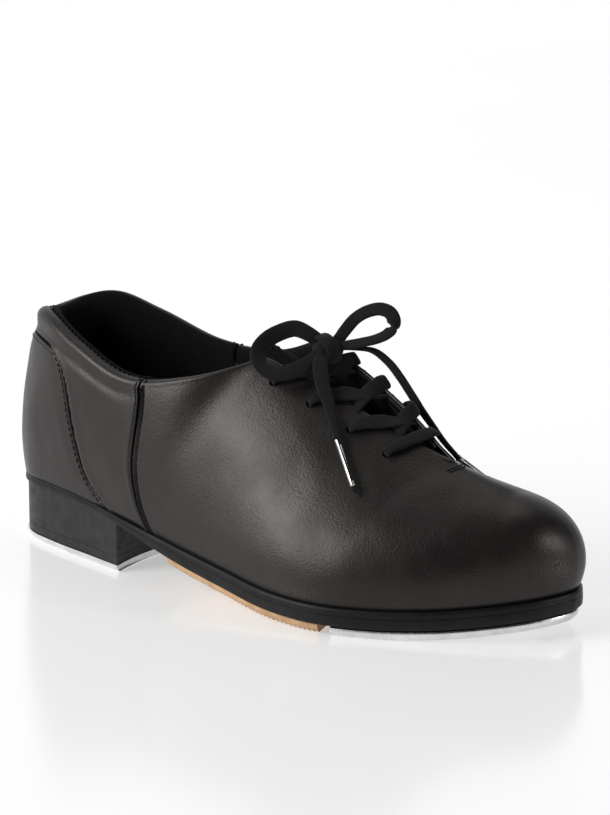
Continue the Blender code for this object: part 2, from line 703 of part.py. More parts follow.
def tongue_place(columns, rows):
    """The tongue lies under both facings and arches between them."""
    stations = np.linspace(0, 1, columns)
    across = np.linspace(-1, 1, rows)
    depth = LINING_DEPTH + LINING + TONGUE_GAP

    def place(i, j):
        s, w = stations[i], across[j][:, None]
        t = np.clip(THROAT - 0.012 - s * (THROAT - 0.012 - CORNER), CORNER, 1)
        wing = np.interp(s, (0, 0.3, 1), (0.93, 0.83, 0.86))
        left = over_skin(-1, t, wing, -depth)
        right = over_skin(1, t, wing, -depth)
        crown = (over_skin(-1, t, 1.0, -depth * 0.95) + over_skin(1, t, 1.0, -depth * 0.95)) / 2
        points = left * (w * (w - 1) / 2) + crown * (1 - w * w) + right * (w * (w + 1) / 2)
        beyond = np.clip(s - 0.86, 0, 1)[:, None] / 0.14
        lift = np.column_stack([-13.0 + 2 * w * w, 0 * w, 5.5 * (1 - w * w) - 2.0 * w * w]) * beyond
        return points + lift

    return place


def make_tongue():
    mesh = grid_mesh("tongue", 15, 7, tongue_place(15, 7))
    obj = shell("tongue", mesh, TONGUE, LINING_CLOTH)
    base = tongue_place(15, 7)(np.array([0]), np.array([3]))[0]
    hinge = base - np.array([0, 0, TONGUE / 2])
    return settle(obj, hinge)


# ---------------------------------------------------------------- the sole unit
def welt_bottom(x):
    share = sole_edge(x) / (OUTSOLE + WELT)
    return feather_z(x) - GAP - WELT * share


def outsole_top(x):
    return welt_bottom(x) - GAP


def outsole_bottom(x):
    share = sole_edge(x) / (OUTSOLE + WELT)
    return outsole_top(x) - OUTSOLE * share


def level(height):
    return lambda x: np.full(len(x), float(height))


def shifted(surface, by):
    return lambda x: surface(x) + by


def share_at(x):
    """Share of the way round whose lateral feather point lies at x."""
    shares = np.linspace(0, 1, 401)
    return float(np.interp(x, plan_point(-1, shares)[:, 0], shares))


WALL = LINING_DEPTH + LINING


def make_ring(name, finish, outset, inset, top, bottom):
    """A strip that follows the whole outline: the welt."""
    shares = np.linspace(0, 1, 30)
    loop = np.concatenate([-shares, shares[::-1][1:]])

    def edge(q, pull):
        out = np.empty((len(q), 2))
        for side in (-1, 1):
            mine = np.signbit(q) if side < 0 else ~np.signbit(q)
            t = np.abs(q[mine])
            out[mine] = plan_point(side, t) + outward(side, t)[:, :2] * pull
        return out

    def place(i, j):
        around, corner = loop[i], j % 4
        outer = (corner == 0) | (corner == 3)
        ring = np.where(outer[:, None], edge(around, outset), edge(around, -inset))
        height = np.where(corner < 2, top(ring[:, 0]), bottom(ring[:, 0]))
        return np.column_stack([ring, height])

    mesh = grid_mesh(name, len(loop), 5, place)
    obj = add_object(name, mesh, finish, PARTS, ROOT)
    return settle_middle(obj)


def screw_profile(length):
    """Countersunk screw, head down: the drive recess is left to the finish."""
    head, shank = SCREW_HEAD / 2, SCREW_SHANK / 2
    return ((0, 0), (head, 0), (head, 0.4), (shank, 0.4 + head - shank), (shank, length - 1.2), (0, length))


def screw_hole(target, at, low, high):
    drill(target, (at[0], at[1], 0), SCREW_SHANK / 2 + HOLE_GAP, low, high)


def screw_seat(target, at, bottom):
    """Widens the lower end of a screw hole so that the head sits flush."""
    drill(target, (at[0], at[1], 0), SCREW_HEAD / 2 + HOLE_GAP, bottom - 1.0, bottom + 0.4 + 1.7)


def make_sole():
    """Plates, block, taps and their fasteners, from the foot down to the ground."""
    pieces = {}
    top = shifted(feather_z, GAP)
    pieces["insole_board"] = plate(
        "insole_board", FIBREBOARD, 0, 1, WALL + GAP + 0.9, shifted(top, INSOLE_BOARD), top
    )
    sock_bottom = shifted(top, INSOLE_BOARD + GAP)
    pieces["sock_liner"] = plate(
        "sock_liner", LINING_CLOTH, 0, 1, WALL + GAP + 1.8, shifted(sock_bottom, SOCK_LINER), sock_bottom
    )
    welt_top = shifted(feather_z, -GAP)
    pieces["welt"] = make_ring("welt", SOLE_BLACK, SOLE_EDGE - 0.2, WELT_WIDTH, welt_top, welt_bottom)
    pieces["bottom_filler"] = plate(
        "bottom_filler", CORK, share_at(FILLER_REAR), 1, WELT_WIDTH + 2 * GAP, welt_top,
        shifted(welt_top, -FILLER),
    )
    pieces["outsole"] = plate("outsole", SOLE_BLACK, 0, 1, -SOLE_EDGE, outsole_top, outsole_bottom)
    pieces["shank"] = make_shank()
    pad_top = shifted(outsole_bottom, -GAP)
    pieces["ball_pad"] = plate(
        "ball_pad", TAN, share_at(PAD_REAR), share_at(PAD_FRONT), -0.2, pad_top,
        shifted(pad_top, -BALL_PAD), bow=-7.0, squeeze=1.2,
    )
    board_top = shifted(outsole_bottom, -GAP)
    tap_top = shifted(board_top, -SOUND_BOARD - GAP)
    rear = share_at(TOE_TAP_REAR)
    pieces["sound_board"] = plate(
        "sound_board", FIBRE_BLACK, rear, 1, 0.6, board_top, shifted(board_top, -SOUND_BOARD), bow=9.0
    )
    pieces["toe_tap"] = plate(
        "toe_tap", ALUMINIUM, rear, 1, 1.2, tap_top, shifted(tap_top, -TOE_TAP), bow=9.0, squeeze=0.9
    )
    breast = share_at(HEEL_BREAST)
    block_bottom = HEEL_TAP + HEEL_LIFT + 2 * GAP
    pieces["heel_block"] = plate(
        "heel_block", HEEL_BLACK, 0, breast, -0.6, shifted(outsole_bottom, -GAP),
        level(block_bottom), bow=-4.0, squeeze=1.0,
    )
    pieces["heel_lift"] = plate(
        "heel_lift", HEEL_BLACK, 0, breast, 0.4, level(HEEL_TAP + HEEL_LIFT + GAP),
        level(HEEL_TAP + GAP), bow=-4.0,
    )
    pieces["heel_tap"] = plate(
        "heel_tap", ALUMINIUM, 0, breast, 0.4, level(HEEL_TAP), level(0), bow=-4.0, squeeze=0.7
    )
    return pieces


def make_shank():
    """Steel strip along the waist, bent to the arch, on the outsole under the insole board."""
    stations = np.linspace(SHANK_START, SHANK_END, 10)

    def place(i, j):
        x = stations[i]
        y = np.where(j == 0, -SHANK_WIDTH / 2, SHANK_WIDTH / 2) - 2.0
        return np.column_stack([x, y, outsole_top(x) + GAP + SHANK_THICK])

    mesh = grid_mesh("shank", len(stations), 2, place)
    obj = add_object("shank", mesh, STEEL, PARTS, ROOT)
    up = sum(face.normal.z for face in mesh.polygons)
    if up < 0:
        mesh.flip_normals()
    solid = obj.modifiers.new("Thickness", "SOLIDIFY")
    solid.thickness = SHANK_THICK * MM
    solid.offset = -1.0
    return settle_middle(obj)


def make_fasteners(pieces):
    """Screws up through each tap and nails down through the heel seat, with the holes they need."""
    toe_spots = ((0.80, 0.30), (0.80, 0.74), (0.93, 0.5))
    for number, (t, across) in enumerate(toe_spots, 1):
        spot = plan_point(-1, [t])[0] * (1 - across) + plan_point(1, [t])[0] * across
        under = outsole_bottom(spot[:1])[0] - 2 * GAP - SOUND_BOARD - TOE_TAP
        length = TOE_TAP + SOUND_BOARD + 2 * GAP + 0.6 * OUTSOLE
        turned(f"toe_tap_screw_{number}", screw_profile(length), (*spot, under + 0.5), STEEL)
        for key in ("toe_tap", "sound_board", "outsole"):
            reach = under + length + 1.0
            screw_hole(pieces[key], spot, under - 2, reach)
        screw_seat(pieces["toe_tap"], spot, under)
    heel_spots = ((17, 1.5), (52, -15), (52, 15))
    for number, spot in enumerate(heel_spots, 1):
        length = HEEL_TAP + HEEL_LIFT + 8.0
        turned(f"heel_tap_screw_{number}", screw_profile(length), (*spot, 0.2), STEEL)
        for key in ("heel_tap", "heel_lift", "heel_block"):
            screw_hole(pieces[key], spot, -1, length + 0.9)
        screw_seat(pieces["heel_tap"], spot, 0)
    nail_spots = ((26, -10), (26, 12), (42, -16), (42, 16))
    for number, spot in enumerate(nail_spots, 1):
        head_top = float(feather_z(np.array([spot[0]]))[0]) + GAP + INSOLE_BOARD - 0.1
        shank, head = NAIL_SHANK / 2, NAIL_HEAD / 2
        neck = NAIL_LENGTH - 0.7
        profile = ((0, NAIL_LENGTH), (head, NAIL_LENGTH), (head, neck), (shank, neck), (shank, 1.2), (0, 0))
        turned(f"heel_nail_{number}", profile, (*spot, head_top - NAIL_LENGTH), STEEL, flip=True)
        for key in ("insole_board", "outsole", "heel_block"):
            drill(pieces[key], (*spot, 0), shank + HOLE_GAP, head_top - NAIL_LENGTH - 0.6, head_top + 2)
        drill(pieces["insole_board"], (*spot, 0), head + HOLE_GAP, head_top - 0.7 - HOLE_GAP, head_top + 2)


# ---------------------------------------------------------------- laces
def lace_run(side, row, lift):
    """One crossing: up out of the gap over the tongue, over one facing and down into its hole."""
    end, normal, t, v = eyelet(side, row)
    ride = LACE / 2 + LACE_GAP
    behind = t + 0.024
    edges = [over_skin(way, [behind], [0.999], 0.0)[0] for way in (-side, side)]
    middle = (edges[0] + edges[1]) / 2
    toward = edges[1] - edges[0]
    up = np.array([0, 0, 1.0])
    start = middle - toward * 0.12 - up * (2.6 - lift / 2)
    crest = middle + toward * 0.2 + up * (ride + lift)
    edge = over_skin(side, [t + 0.008], [0.985], ride + lift / 2)[0]
    hover = over_skin(side, [t + 0.003], [(v + 0.985) / 2], ride + 0.5)[0]
    mouth = end + normal * (ride + 0.2)
    through = end - normal * LACE_UNDER
    under = end - normal * (WALL + LACE_UNDER)
    return [start, crest, edge, hover, mouth, through, under]


def lace_bar():
    """Straight bar over the lowest pair of holes, down into each of them at its ends."""
    ride = LACE / 2 + LACE_GAP
    halves = {}
    for side in (-1, 1):
        centre, normal, t, v = eyelet(side, len(EYELET_ROWS) - 1)
        halves[side] = [
            centre - normal * (WALL + LACE_UNDER), centre - normal * LACE_UNDER,
            centre + normal * (ride + 0.1),
            over_skin(side, [t], [(v + 1) / 2], ride + 0.3)[0], over_skin(side, [t], [0.995], ride + 0.2)[0],
        ]
    return halves[-1] + halves[1][::-1]


def make_laces(upper):
    sides = {-1: "lateral", 1: "medial"}
    for target in upper:
        for row in range(len(EYELET_ROWS)):
            for side in sides:
                centre, normal, _, _ = eyelet(side, row)
                if target.name.startswith("eyelet_stay") and sides[side] not in target.name:
                    continue
                drill(target, centre, EYELET / 2, -WALL - 1.5, 2.5, normal)
    tube("lace_bar", lace_bar(), LACE, COTTON, spacing=2.4)
    for letter, row in (("c", 2), ("b", 1), ("a", 0)):
        for side, word in sides.items():
            lift = 0.0 if side < 0 else LACE + CROSS_GAP
            tube(f"lace_cross_{letter}_{word}", lace_run(side, row, lift), LACE, COTTON, spacing=2.4)


def make_bow():
    bpy.ops.mesh.primitive_uv_sphere_add(segments=14, ring_count=8, radius=0.5 * MM)
    knot = bpy.context.object
    knot.name = "bow_knot"
    knot.data.name = "bow_knot"
    for owner in list(knot.users_collection):
        owner.objects.unlink(knot)
    PARTS.objects.link(knot)
    knot.data.transform(Matrix.Diagonal((*KNOT, 1)))
    knot.data.materials.append(COTTON)
    knot.parent = ROOT
    knot.location = np.array(KNOT_AT) * MM
    tube("bow_loop_medial", LOOP_MEDIAL, LACE, COTTON)
    tube("bow_loop_lateral", LOOP_LATERAL, LACE, COTTON)
    tube("lace_end_lateral", END_LATERAL, LACE, COTTON)
    tube("lace_end_medial", END_MEDIAL, LACE, COTTON)
    for name, cord, target in (
        ("aglet_lateral", END_LATERAL, AGLET_LATERAL_TO), ("aglet_medial", END_MEDIAL, AGLET_MEDIAL_TO),
    ):
        tip = np.array(cord[-1], float)
        ahead = np.array(target, float) - tip
        ahead = ahead / np.linalg.norm(ahead)
        start = tip + ahead * GAP
        reach = [start + ahead * AGLET_LENGTH * share for share in (0, 0.5, 1)]
        tube(name, reach, AGLET, ALUMINIUM)


# ---------------------------------------------------------------- assembly
def start_scene():
    for obj in list(bpy.data.objects):
        bpy.data.objects.remove(obj, do_unlink=True)
    parts = bpy.data.collections.new("tap_shoe")
    cutters = bpy.data.collections.new("cutters")
    for collection in (parts, cutters):
        bpy.context.scene.collection.children.link(collection)
    cutters.hide_render = True
    root = bpy.data.objects.new("shoe_root", None)
    parts.objects.link(root)
    return parts, cutters, root


def rest_on_origin():
    """Moves the root so that the shoe stands on z = 0 with its middle over the origin."""
    bpy.context.view_layer.update()
    graph = bpy.context.evaluated_depsgraph_get()
    free = ("bow_loop", "lace_end", "aglet")
    corners = []
    for obj in PARTS.objects:
        if obj.type == "EMPTY" or obj.name.startswith(free):
            continue
        shape = obj.evaluated_get(graph)
        mesh = shape.to_mesh()
        spot = np.empty(len(mesh.vertices) * 3)
        mesh.vertices.foreach_get("co", spot)
        world = np.array(shape.matrix_world)
        corners.append(spot.reshape(-1, 3) @ world[:3, :3].T + world[:3, 3])
        shape.to_mesh_clear()
    corners = np.vstack(corners)
    low, high = corners.min(axis=0), corners.max(axis=0)
    ROOT.location = (-(low[0] + high[0]) / 2, -(low[1] + high[1]) / 2, -low[2])


PARTS, CUTTERS, ROOT = start_scene()
LEATHER = material("black_leather", (0.018, 0.018, 0.019), 0.42)
LINING_CLOTH = material("black_lining", (0.012, 0.012, 0.012), 0.85)
FIBREBOARD = material("stiffener_board", (0.36, 0.30, 0.22), 0.85)
FOAM = material("collar_foam_grey", (0.28, 0.28, 0.27), 0.95)
SOLE_BLACK = material("sole_black", (0.02, 0.02, 0.02), 0.5)
HEEL_BLACK = material("heel_black", (0.022, 0.022, 0.022), 0.45)
FIBRE_BLACK = material("sound_board_black", (0.03, 0.03, 0.03), 0.7)
CORK = material("cork_filler", (0.42, 0.27, 0.15), 0.9)
TAN = material("ball_pad_tan", (0.62, 0.40, 0.24), 0.7)
ALUMINIUM = material("tap_aluminium", (0.80, 0.80, 0.81), 0.28, 1.0)
STEEL = material("plain_steel", (0.56, 0.56, 0.57), 0.35, 1.0)
COTTON = material("lace_cotton", (0.015, 0.015, 0.016), 0.8)

VAMP = make_vamp()
VAMP_LINING = make_vamp_lining()
make_quarter("quarter_lateral", -1)
make_quarter("quarter_medial", 1)
make_quarter_lining()
make_collar_foam()
make_counter_cover()
make_heel_counter()
make_toe_puff()
STAYS = [make_eyelet_stay("eyelet_stay_lateral", -1), make_eyelet_stay("eyelet_stay_medial", 1)]
make_tongue()
make_fasteners(make_sole())
make_laces([VAMP, VAMP_LINING, *STAYS])
make_bow()
rest_on_origin()
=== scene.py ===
# %% [markdown]
# # A black lace-up tap shoe
# The shoe stands on its toe tap and heel tap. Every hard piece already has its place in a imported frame,
# and this lesson dresses that frame: fine leather panels, stitching, laces, cloth and metal finishes.
# The first cell loads the frame and notes the box that the finished shoe has to stay in.

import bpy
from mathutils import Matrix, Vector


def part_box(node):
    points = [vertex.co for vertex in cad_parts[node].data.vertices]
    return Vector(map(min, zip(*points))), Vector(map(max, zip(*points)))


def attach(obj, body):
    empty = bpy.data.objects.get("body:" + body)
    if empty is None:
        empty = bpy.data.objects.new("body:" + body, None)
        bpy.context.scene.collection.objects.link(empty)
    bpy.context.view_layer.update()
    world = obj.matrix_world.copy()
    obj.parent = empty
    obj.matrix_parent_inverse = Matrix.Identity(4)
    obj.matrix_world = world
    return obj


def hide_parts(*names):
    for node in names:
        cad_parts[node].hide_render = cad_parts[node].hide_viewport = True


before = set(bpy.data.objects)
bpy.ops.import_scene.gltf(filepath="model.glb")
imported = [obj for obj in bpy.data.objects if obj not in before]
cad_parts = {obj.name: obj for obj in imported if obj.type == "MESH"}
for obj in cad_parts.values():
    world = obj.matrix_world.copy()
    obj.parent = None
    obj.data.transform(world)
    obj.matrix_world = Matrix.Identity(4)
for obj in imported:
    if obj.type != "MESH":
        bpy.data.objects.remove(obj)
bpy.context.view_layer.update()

import math

import bmesh
import bpy
import numpy as np
from mathutils import Matrix, Vector

# %% [markdown]
# ## One set of coordinates
# A shoemaker measures in millimetres from the back of the heel. The panels below are worked out in that
# way, and one helper turns them into metres in the frame. The heel tap's box shows whether both agree.

# %% Millimetres on the last to metres in the frame
LAST_TO_FRAME = np.array([-130.54, -0.57, 0.11])
LENGTH = 262.0
BALL_WIDTH = 92.0


def to_frame(points):
    return (np.asarray(points, float) + LAST_TO_FRAME) * 0.001


tap_low, tap_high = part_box("heel_tap")
print("heel tap stands at z =", round(1000 * tap_low[2], 2), "mm, the last's z = 0 is at",
      round(1000 * float(to_frame((0, 0, 0))[2]), 2), "mm")

# %% [markdown]
# ## The camera
# A long lens from a little above, in front of the shoe's outer side, keeps the sole line nearly straight.
# The camera aims a little above the middle of the shoe so that there is floor in front of it.

# %% Camera
CAMERA_AZIMUTH = math.radians(38.9)
CAMERA_ELEVATION = math.radians(15.9)
CAMERA_DISTANCE = 1.38
camera_back = np.array([
    math.sin(CAMERA_AZIMUTH) * math.cos(CAMERA_ELEVATION),
    -math.cos(CAMERA_AZIMUTH) * math.cos(CAMERA_ELEVATION),
    math.sin(CAMERA_ELEVATION),
])
camera_right = np.array([math.cos(CAMERA_AZIMUTH), math.sin(CAMERA_AZIMUTH), 0.0])
camera_up = np.cross(camera_back, camera_right)
shoe_middle = to_frame((140, 0, 45))

camera_data = bpy.data.cameras.new("studio_camera")
camera_data.lens = 156.8
camera = bpy.data.objects.new("studio_camera", camera_data)
bpy.context.scene.collection.objects.link(camera)
camera.location = shoe_middle + CAMERA_DISTANCE * camera_back
aim = shoe_middle + 0.0258 * camera_up + 0.0027 * camera_right
camera.rotation_mode = "QUATERNION"
camera.rotation_quaternion = (Vector(aim) - camera.location).to_track_quat("-Z", "Y")
bpy.context.scene.camera = camera
print("camera stands at", [round(v, 3) for v in camera.location])

# %% [markdown]
# ## Smooth curves from a few stations
# A last is described by stations: a place along it and the values there. One helper runs a smooth curve
# through such rows, and everything else on the shoe reads its shape from it.

# %% Curve helper


def curve_through(stations, at):
    table = np.asarray(stations, float)
    knots, values = table[:, 0], table[:, 1:]
    at = np.clip(np.atleast_1d(np.asarray(at, float)), knots[0], knots[-1])
    step = np.diff(knots)[:, None]
    slope = np.diff(values, axis=0) / step
    inner = (slope[:-1] * step[1:] + slope[1:] * step[:-1]) / (step[1:] + step[:-1])
    slope = np.vstack([slope[:1], inner, slope[-1:]])
    k = np.clip(np.searchsorted(knots, at, side="right") - 1, 0, len(knots) - 2)
    h = step[k]
    s = (at - knots[k])[:, None] / h
    start = (2 * s**3 - 3 * s**2 + 1) * values[k] + (s**3 - 2 * s**2 + s) * h * slope[k]
    end = (3 * s**2 - 2 * s**3) * values[k + 1] + (s**3 - s**2) * h * slope[k + 1]
    return start + end


def unit(vectors):
    vectors = np.asarray(vectors, float)
    return vectors / np.maximum(np.linalg.norm(vectors, axis=-1, keepdims=True), 1e-9)


def ease(value):
    value = np.clip(value, 0, 1)
    return value * value * (3 - 2 * value)


def walk_along(points, spacing):
    """Evenly spaced points on a smooth curve through given ones, and the share walked at each."""
    points = np.asarray(points, float)
    reach = np.concatenate([[0], np.cumsum(np.linalg.norm(np.diff(points, axis=0), axis=1))])
    table = np.column_stack([reach, points])
    fine = curve_through(table, np.linspace(0, reach[-1], 600))
    walked = np.concatenate([[0], np.cumsum(np.linalg.norm(np.diff(fine, axis=0), axis=1))])
    count = max(6, round(walked[-1] / spacing) + 1)
    even = np.linspace(0, walked[-1], count)
    return np.column_stack([np.interp(even, walked, fine[:, k]) for k in range(3)]), even / walked[-1]


# %% [markdown]
# ## Laces are flat braid
# The lace is a flat cotton braid about 5 mm wide and under 2 mm thick. A round tube would look like string,
# so each stretch is a band swept along its route: a rounded oblong cross-section, turned so that its broad
# face looks the way the braid lies. Where it dives into a hole it is pinched narrower.

# %% Mesh helpers for bands and sheets
PARTS = bpy.data.collections.new("shoe_pieces")
bpy.context.scene.collection.children.link(PARTS)


def new_piece(name, mesh, body="shoe"):
    piece = bpy.data.objects.new(name, mesh)
    PARTS.objects.link(piece)
    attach(piece, body)
    return piece


def smooth_faces(mesh, angle=None):
    mesh.polygons.foreach_set("use_smooth", [True] * len(mesh.polygons))
    if angle is not None:
        mesh.set_sharp_from_angle(angle=math.radians(angle))
    mesh.update()


def clean_mesh(mesh, merge=None, angle=None):
    """Welds points that meet, within merge metres, turns the faces outward and shades them smoothly."""
    bm = bmesh.new()
    bm.from_mesh(mesh)
    if merge:
        bmesh.ops.remove_doubles(bm, verts=bm.verts, dist=merge)
        bmesh.ops.dissolve_degenerate(bm, edges=bm.edges, dist=merge)
    bmesh.ops.recalc_face_normals(bm, faces=bm.faces)
    bm.to_mesh(mesh)
    bm.free()
    smooth_faces(mesh, angle)
    return mesh


def sweep_mesh(name, rings, weave=None, loop=False):
    """Joins rings of points into a tube, closed round each ring, with capped ends unless it is a loop."""
    count, around = rings.shape[:2]
    faces = []
    for i in range(count if loop else count - 1):
        a, b = i * around, ((i + 1) % count) * around
        for j in range(around):
            k = (j + 1) % around
            faces.append((a + j, a + k, b + k, b + j))
    if not loop:
        faces.append(tuple(range(around))[::-1])
        faces.append(tuple((count - 1) * around + j for j in range(around)))
    mesh = bpy.data.meshes.new(name)
    mesh.from_pydata(to_frame(rings.reshape(-1, 3)).tolist(), [], faces)
    if weave is not None:
        layer = mesh.attributes.new("weave", "FLOAT_VECTOR", "POINT")
        layer.data.foreach_set("vector", np.asarray(weave, float).reshape(-1))
    return clean_mesh(mesh, angle=50)


def lace_band(name, points, facing, width=5.2, thickness=1.7, loop=False, spacing=0.7):
    """A flat braid along a route. facing holds the direction across its width, one or one per point."""
    if loop:
        points = list(points) + [points[0]]
    line, share = walk_along(points, spacing)
    ahead = unit(np.gradient(line, axis=0))
    if loop:
        line, share, ahead = line[:-1], share[:-1], ahead[:-1]
    keys = np.linspace(0, 1, len(points))
    facing = np.atleast_2d(np.asarray(facing, float))
    if len(facing) > 1:
        across = np.column_stack([np.interp(share, keys[:len(facing)], facing[:, k]) for k in range(3)])
    else:
        across = np.repeat(facing, len(line), axis=0)
    across = unit(across - ahead * np.sum(across * ahead, axis=1, keepdims=True))
    over = np.cross(ahead, across)
    width = np.interp(share, np.linspace(0, 1, np.size(width)), np.atleast_1d(width))
    thickness = np.interp(share, np.linspace(0, 1, np.size(thickness)), np.atleast_1d(thickness))
    angle = np.linspace(0, 2 * np.pi, 20, endpoint=False)
    flat = np.sign(np.cos(angle)) * np.abs(np.cos(angle)) ** 0.62
    tall = np.sign(np.sin(angle)) * np.abs(np.sin(angle)) ** 0.8
    rings = (line[:, None, :]
             + across[:, None, :] * (width[:, None] / 2 * flat)[:, :, None]
             + over[:, None, :] * (thickness[:, None] / 2 * tall)[:, :, None])
    walked = share * np.linalg.norm(np.diff(line, axis=0), axis=1).sum()
    weave = np.stack(np.broadcast_arrays(walked[:, None], width[:, None] / 2 * flat, tall), axis=-1)
    return sweep_mesh(name, rings, weave, loop), line


# %% [markdown]
# ## The bow's loops and free ends
# Four stretches of the lace are free: two loops and two ends. They are flexible and weigh almost nothing, so
# the braid's own stiffness holds each loop open. Each route is a short list of points.

# %% Routes of the loops and ends
KNOT_AT = np.array([153.5, 1.5, 97.0])


def from_knot(rows):
    """Route points set out from the knot: to the right, up, and towards the viewer, in millimetres."""
    return [tuple(KNOT_AT + r * camera_right + u * camera_up + b * camera_back) for r, u, b in rows]


LOOP_MEDIAL = from_knot((
    (0.5, 0.8, 0), (3, 2.4, -1), (6.6, 7, -2), (10.6, 11.6, -3), (15.6, 14.4, -2), (20.4, 15.1, -0.5),
    (23.8, 13.6, 1), (25.2, 10.8, 2.4), (24.8, 7.8, 3.6), (22.4, 5.2, 4.5), (18.4, 3.4, 4.5), (13, 2.2, 3.5),
    (7, 1.2, 2), (1.5, 0.2, 1),
))
LOOP_LATERAL = from_knot((
    (-0.5, 1, 0), (-3, 2.6, 0.5), (-7.2, 5.4, 1), (-12.4, 7.6, 0.5), (-18.2, 6.2, 0), (-23.6, 3, 0.8),
    (-26.6, -1.2, 3), (-25.6, -6.4, 6), (-20.4, -9.7, 8), (-13.2, -8.8, 8), (-7.4, -5.6, 6), (-2, -1.6, 3),
))
END_LATERAL = (
    (154, -2.5, 96.5), (156.5, -7, 93), (160.5, -10.6, 86.6), (165, -12.8, 80.6), (169.5, -15.6, 74.6),
    (174, -18.4, 68.6),
)
END_MEDIAL = (
    (156, 4, 97), (160.5, 9.5, 96.6), (167, 12.5, 96), (173, 14, 92.3), (178.5, 14.5, 87),
    (183.5, 14.5, 81.5), (188.5, 14, 76.5), (194, 13.8, 71.2), (199.3, 14.8, 65), (203.6, 18, 58.8),
)
AGLET_LATERAL_TO = (188.6, -26.4, 53.0)
AGLET_MEDIAL_TO = (206, 34.2, 46.8)
loop_face = 0.8 * camera_up - 0.38 * camera_back

# %% Free stretches of braid


def free_lace(name, route, facing, width):
    mesh, line = lace_band(name, route, facing, width=width)
    piece = new_piece(name, mesh)
    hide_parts(name.replace("braid_", ""))
    return piece


def loop_facing(route, flat, back):
    """Across the braid at each point: mostly in the plane of the loop, and partly a fixed lean."""
    route = np.asarray(route, float)
    ahead = unit(np.gradient(route, axis=0))
    for _ in range(2):
        ahead[1:-1] = (ahead[:-2] + 2 * ahead[1:-1] + ahead[2:]) / 4
    return unit(np.cross(ahead, camera_back) * flat + back)


bow_inner = free_lace("braid_bow_loop_medial", LOOP_MEDIAL, loop_facing(LOOP_MEDIAL, -0.42, loop_face),
                      (4.6, 5.0, 5.4, 5.4, 5.0, 4.6))
bow_outer = free_lace("braid_bow_loop_lateral", LOOP_LATERAL, loop_facing(
    LOOP_LATERAL, 1.0, 0.30 * camera_back), (5.0, 6.6, 7.0, 6.8, 6.4, 5.0))

# %% [markdown]
# The outer end hangs over the vamp and the inner end runs down behind the facing. Each ends in a crimped
# metal tip: a thin sleeve with a seam along it, and a short tuft of braid past its end.

# %% Lace ends and their metal tips
AGLET_LENGTH = 21.0


def lace_tip(side, last_point, toward):
    """A crimped sleeve with a rounded lip at each end, and the black tuft that sticks out of it."""
    start = np.array(last_point, float)
    ahead = unit(np.array(toward, float) - start)
    start = start + ahead * 0.2
    across = unit(np.cross(ahead, (0, 0, 1)))
    other = np.cross(ahead, across)
    stations = ((0, 1.15), (0.25, 1.38), (0.8, 1.3), (2.2, 1.25), (2.6, 1.16), (3.0, 1.25), (18.2, 1.2),
                (18.6, 1.12), (19.0, 1.2), (20.3, 1.2), (20.8, 1.28), (AGLET_LENGTH, 1.05))
    angle = np.linspace(0, 2 * np.pi, 24, endpoint=False)
    seam = 1 - 0.16 * np.exp(-((angle - np.pi) / 0.18) ** 2)
    rings = []
    for along, radius in stations:
        circle = across * (np.cos(angle) * seam)[:, None] + other * (np.sin(angle) * seam)[:, None]
        rings.append(start + ahead * along + circle * radius)
    sleeve = new_piece(f"tip_{side}", sweep_mesh(f"tip_{side}", np.array(rings)))
    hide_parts(f"aglet_{side}")
    tuft_rings = []
    for along, radius in ((-1.2, 0.8), (0.3, 0.85), (1.6, 0.95), (2.6, 0.7), (3.0, 0.25)):
        wobble = 1 + 0.12 * np.sin(3 * angle + along)
        circle = across * (np.cos(angle) * wobble)[:, None] + other * (np.sin(angle) * wobble)[:, None]
        tuft_rings.append(start + ahead * (AGLET_LENGTH + along * 0.8) + circle * radius)
    tuft = new_piece(f"tip_tuft_{side}", sweep_mesh(f"tip_tuft_{side}", np.array(tuft_rings)))
    return sleeve, tuft


tip_outer = lace_tip("lateral", END_LATERAL[-1], AGLET_LATERAL_TO)
tip_inner = lace_tip("medial", END_MEDIAL[-1], AGLET_MEDIAL_TO)
end_outer = free_lace("braid_lace_end_lateral", END_LATERAL, camera_right,
                      (5.8, 6.0, 5.2, 3.8, 2.4))
end_inner = free_lace("braid_lace_end_medial", END_MEDIAL, 0.8 * camera_back + 0.5 * camera_right,
                      (4.6, 5.0, 5.0, 4.6, 3.6, 2.4))
FREE_LACES = [bow_inner, bow_outer, end_outer, end_inner]

# %% [markdown]
# ## Finishes from nodes
# Every finish is a small tree of nodes: a colour that varies a little, a roughness that varies a little, and
# a bump at the scale of the real surface. Object coordinates are metres here, so a texture scale of 1000
# gives features one millimetre across. No picture is used.

# %% Finish helper


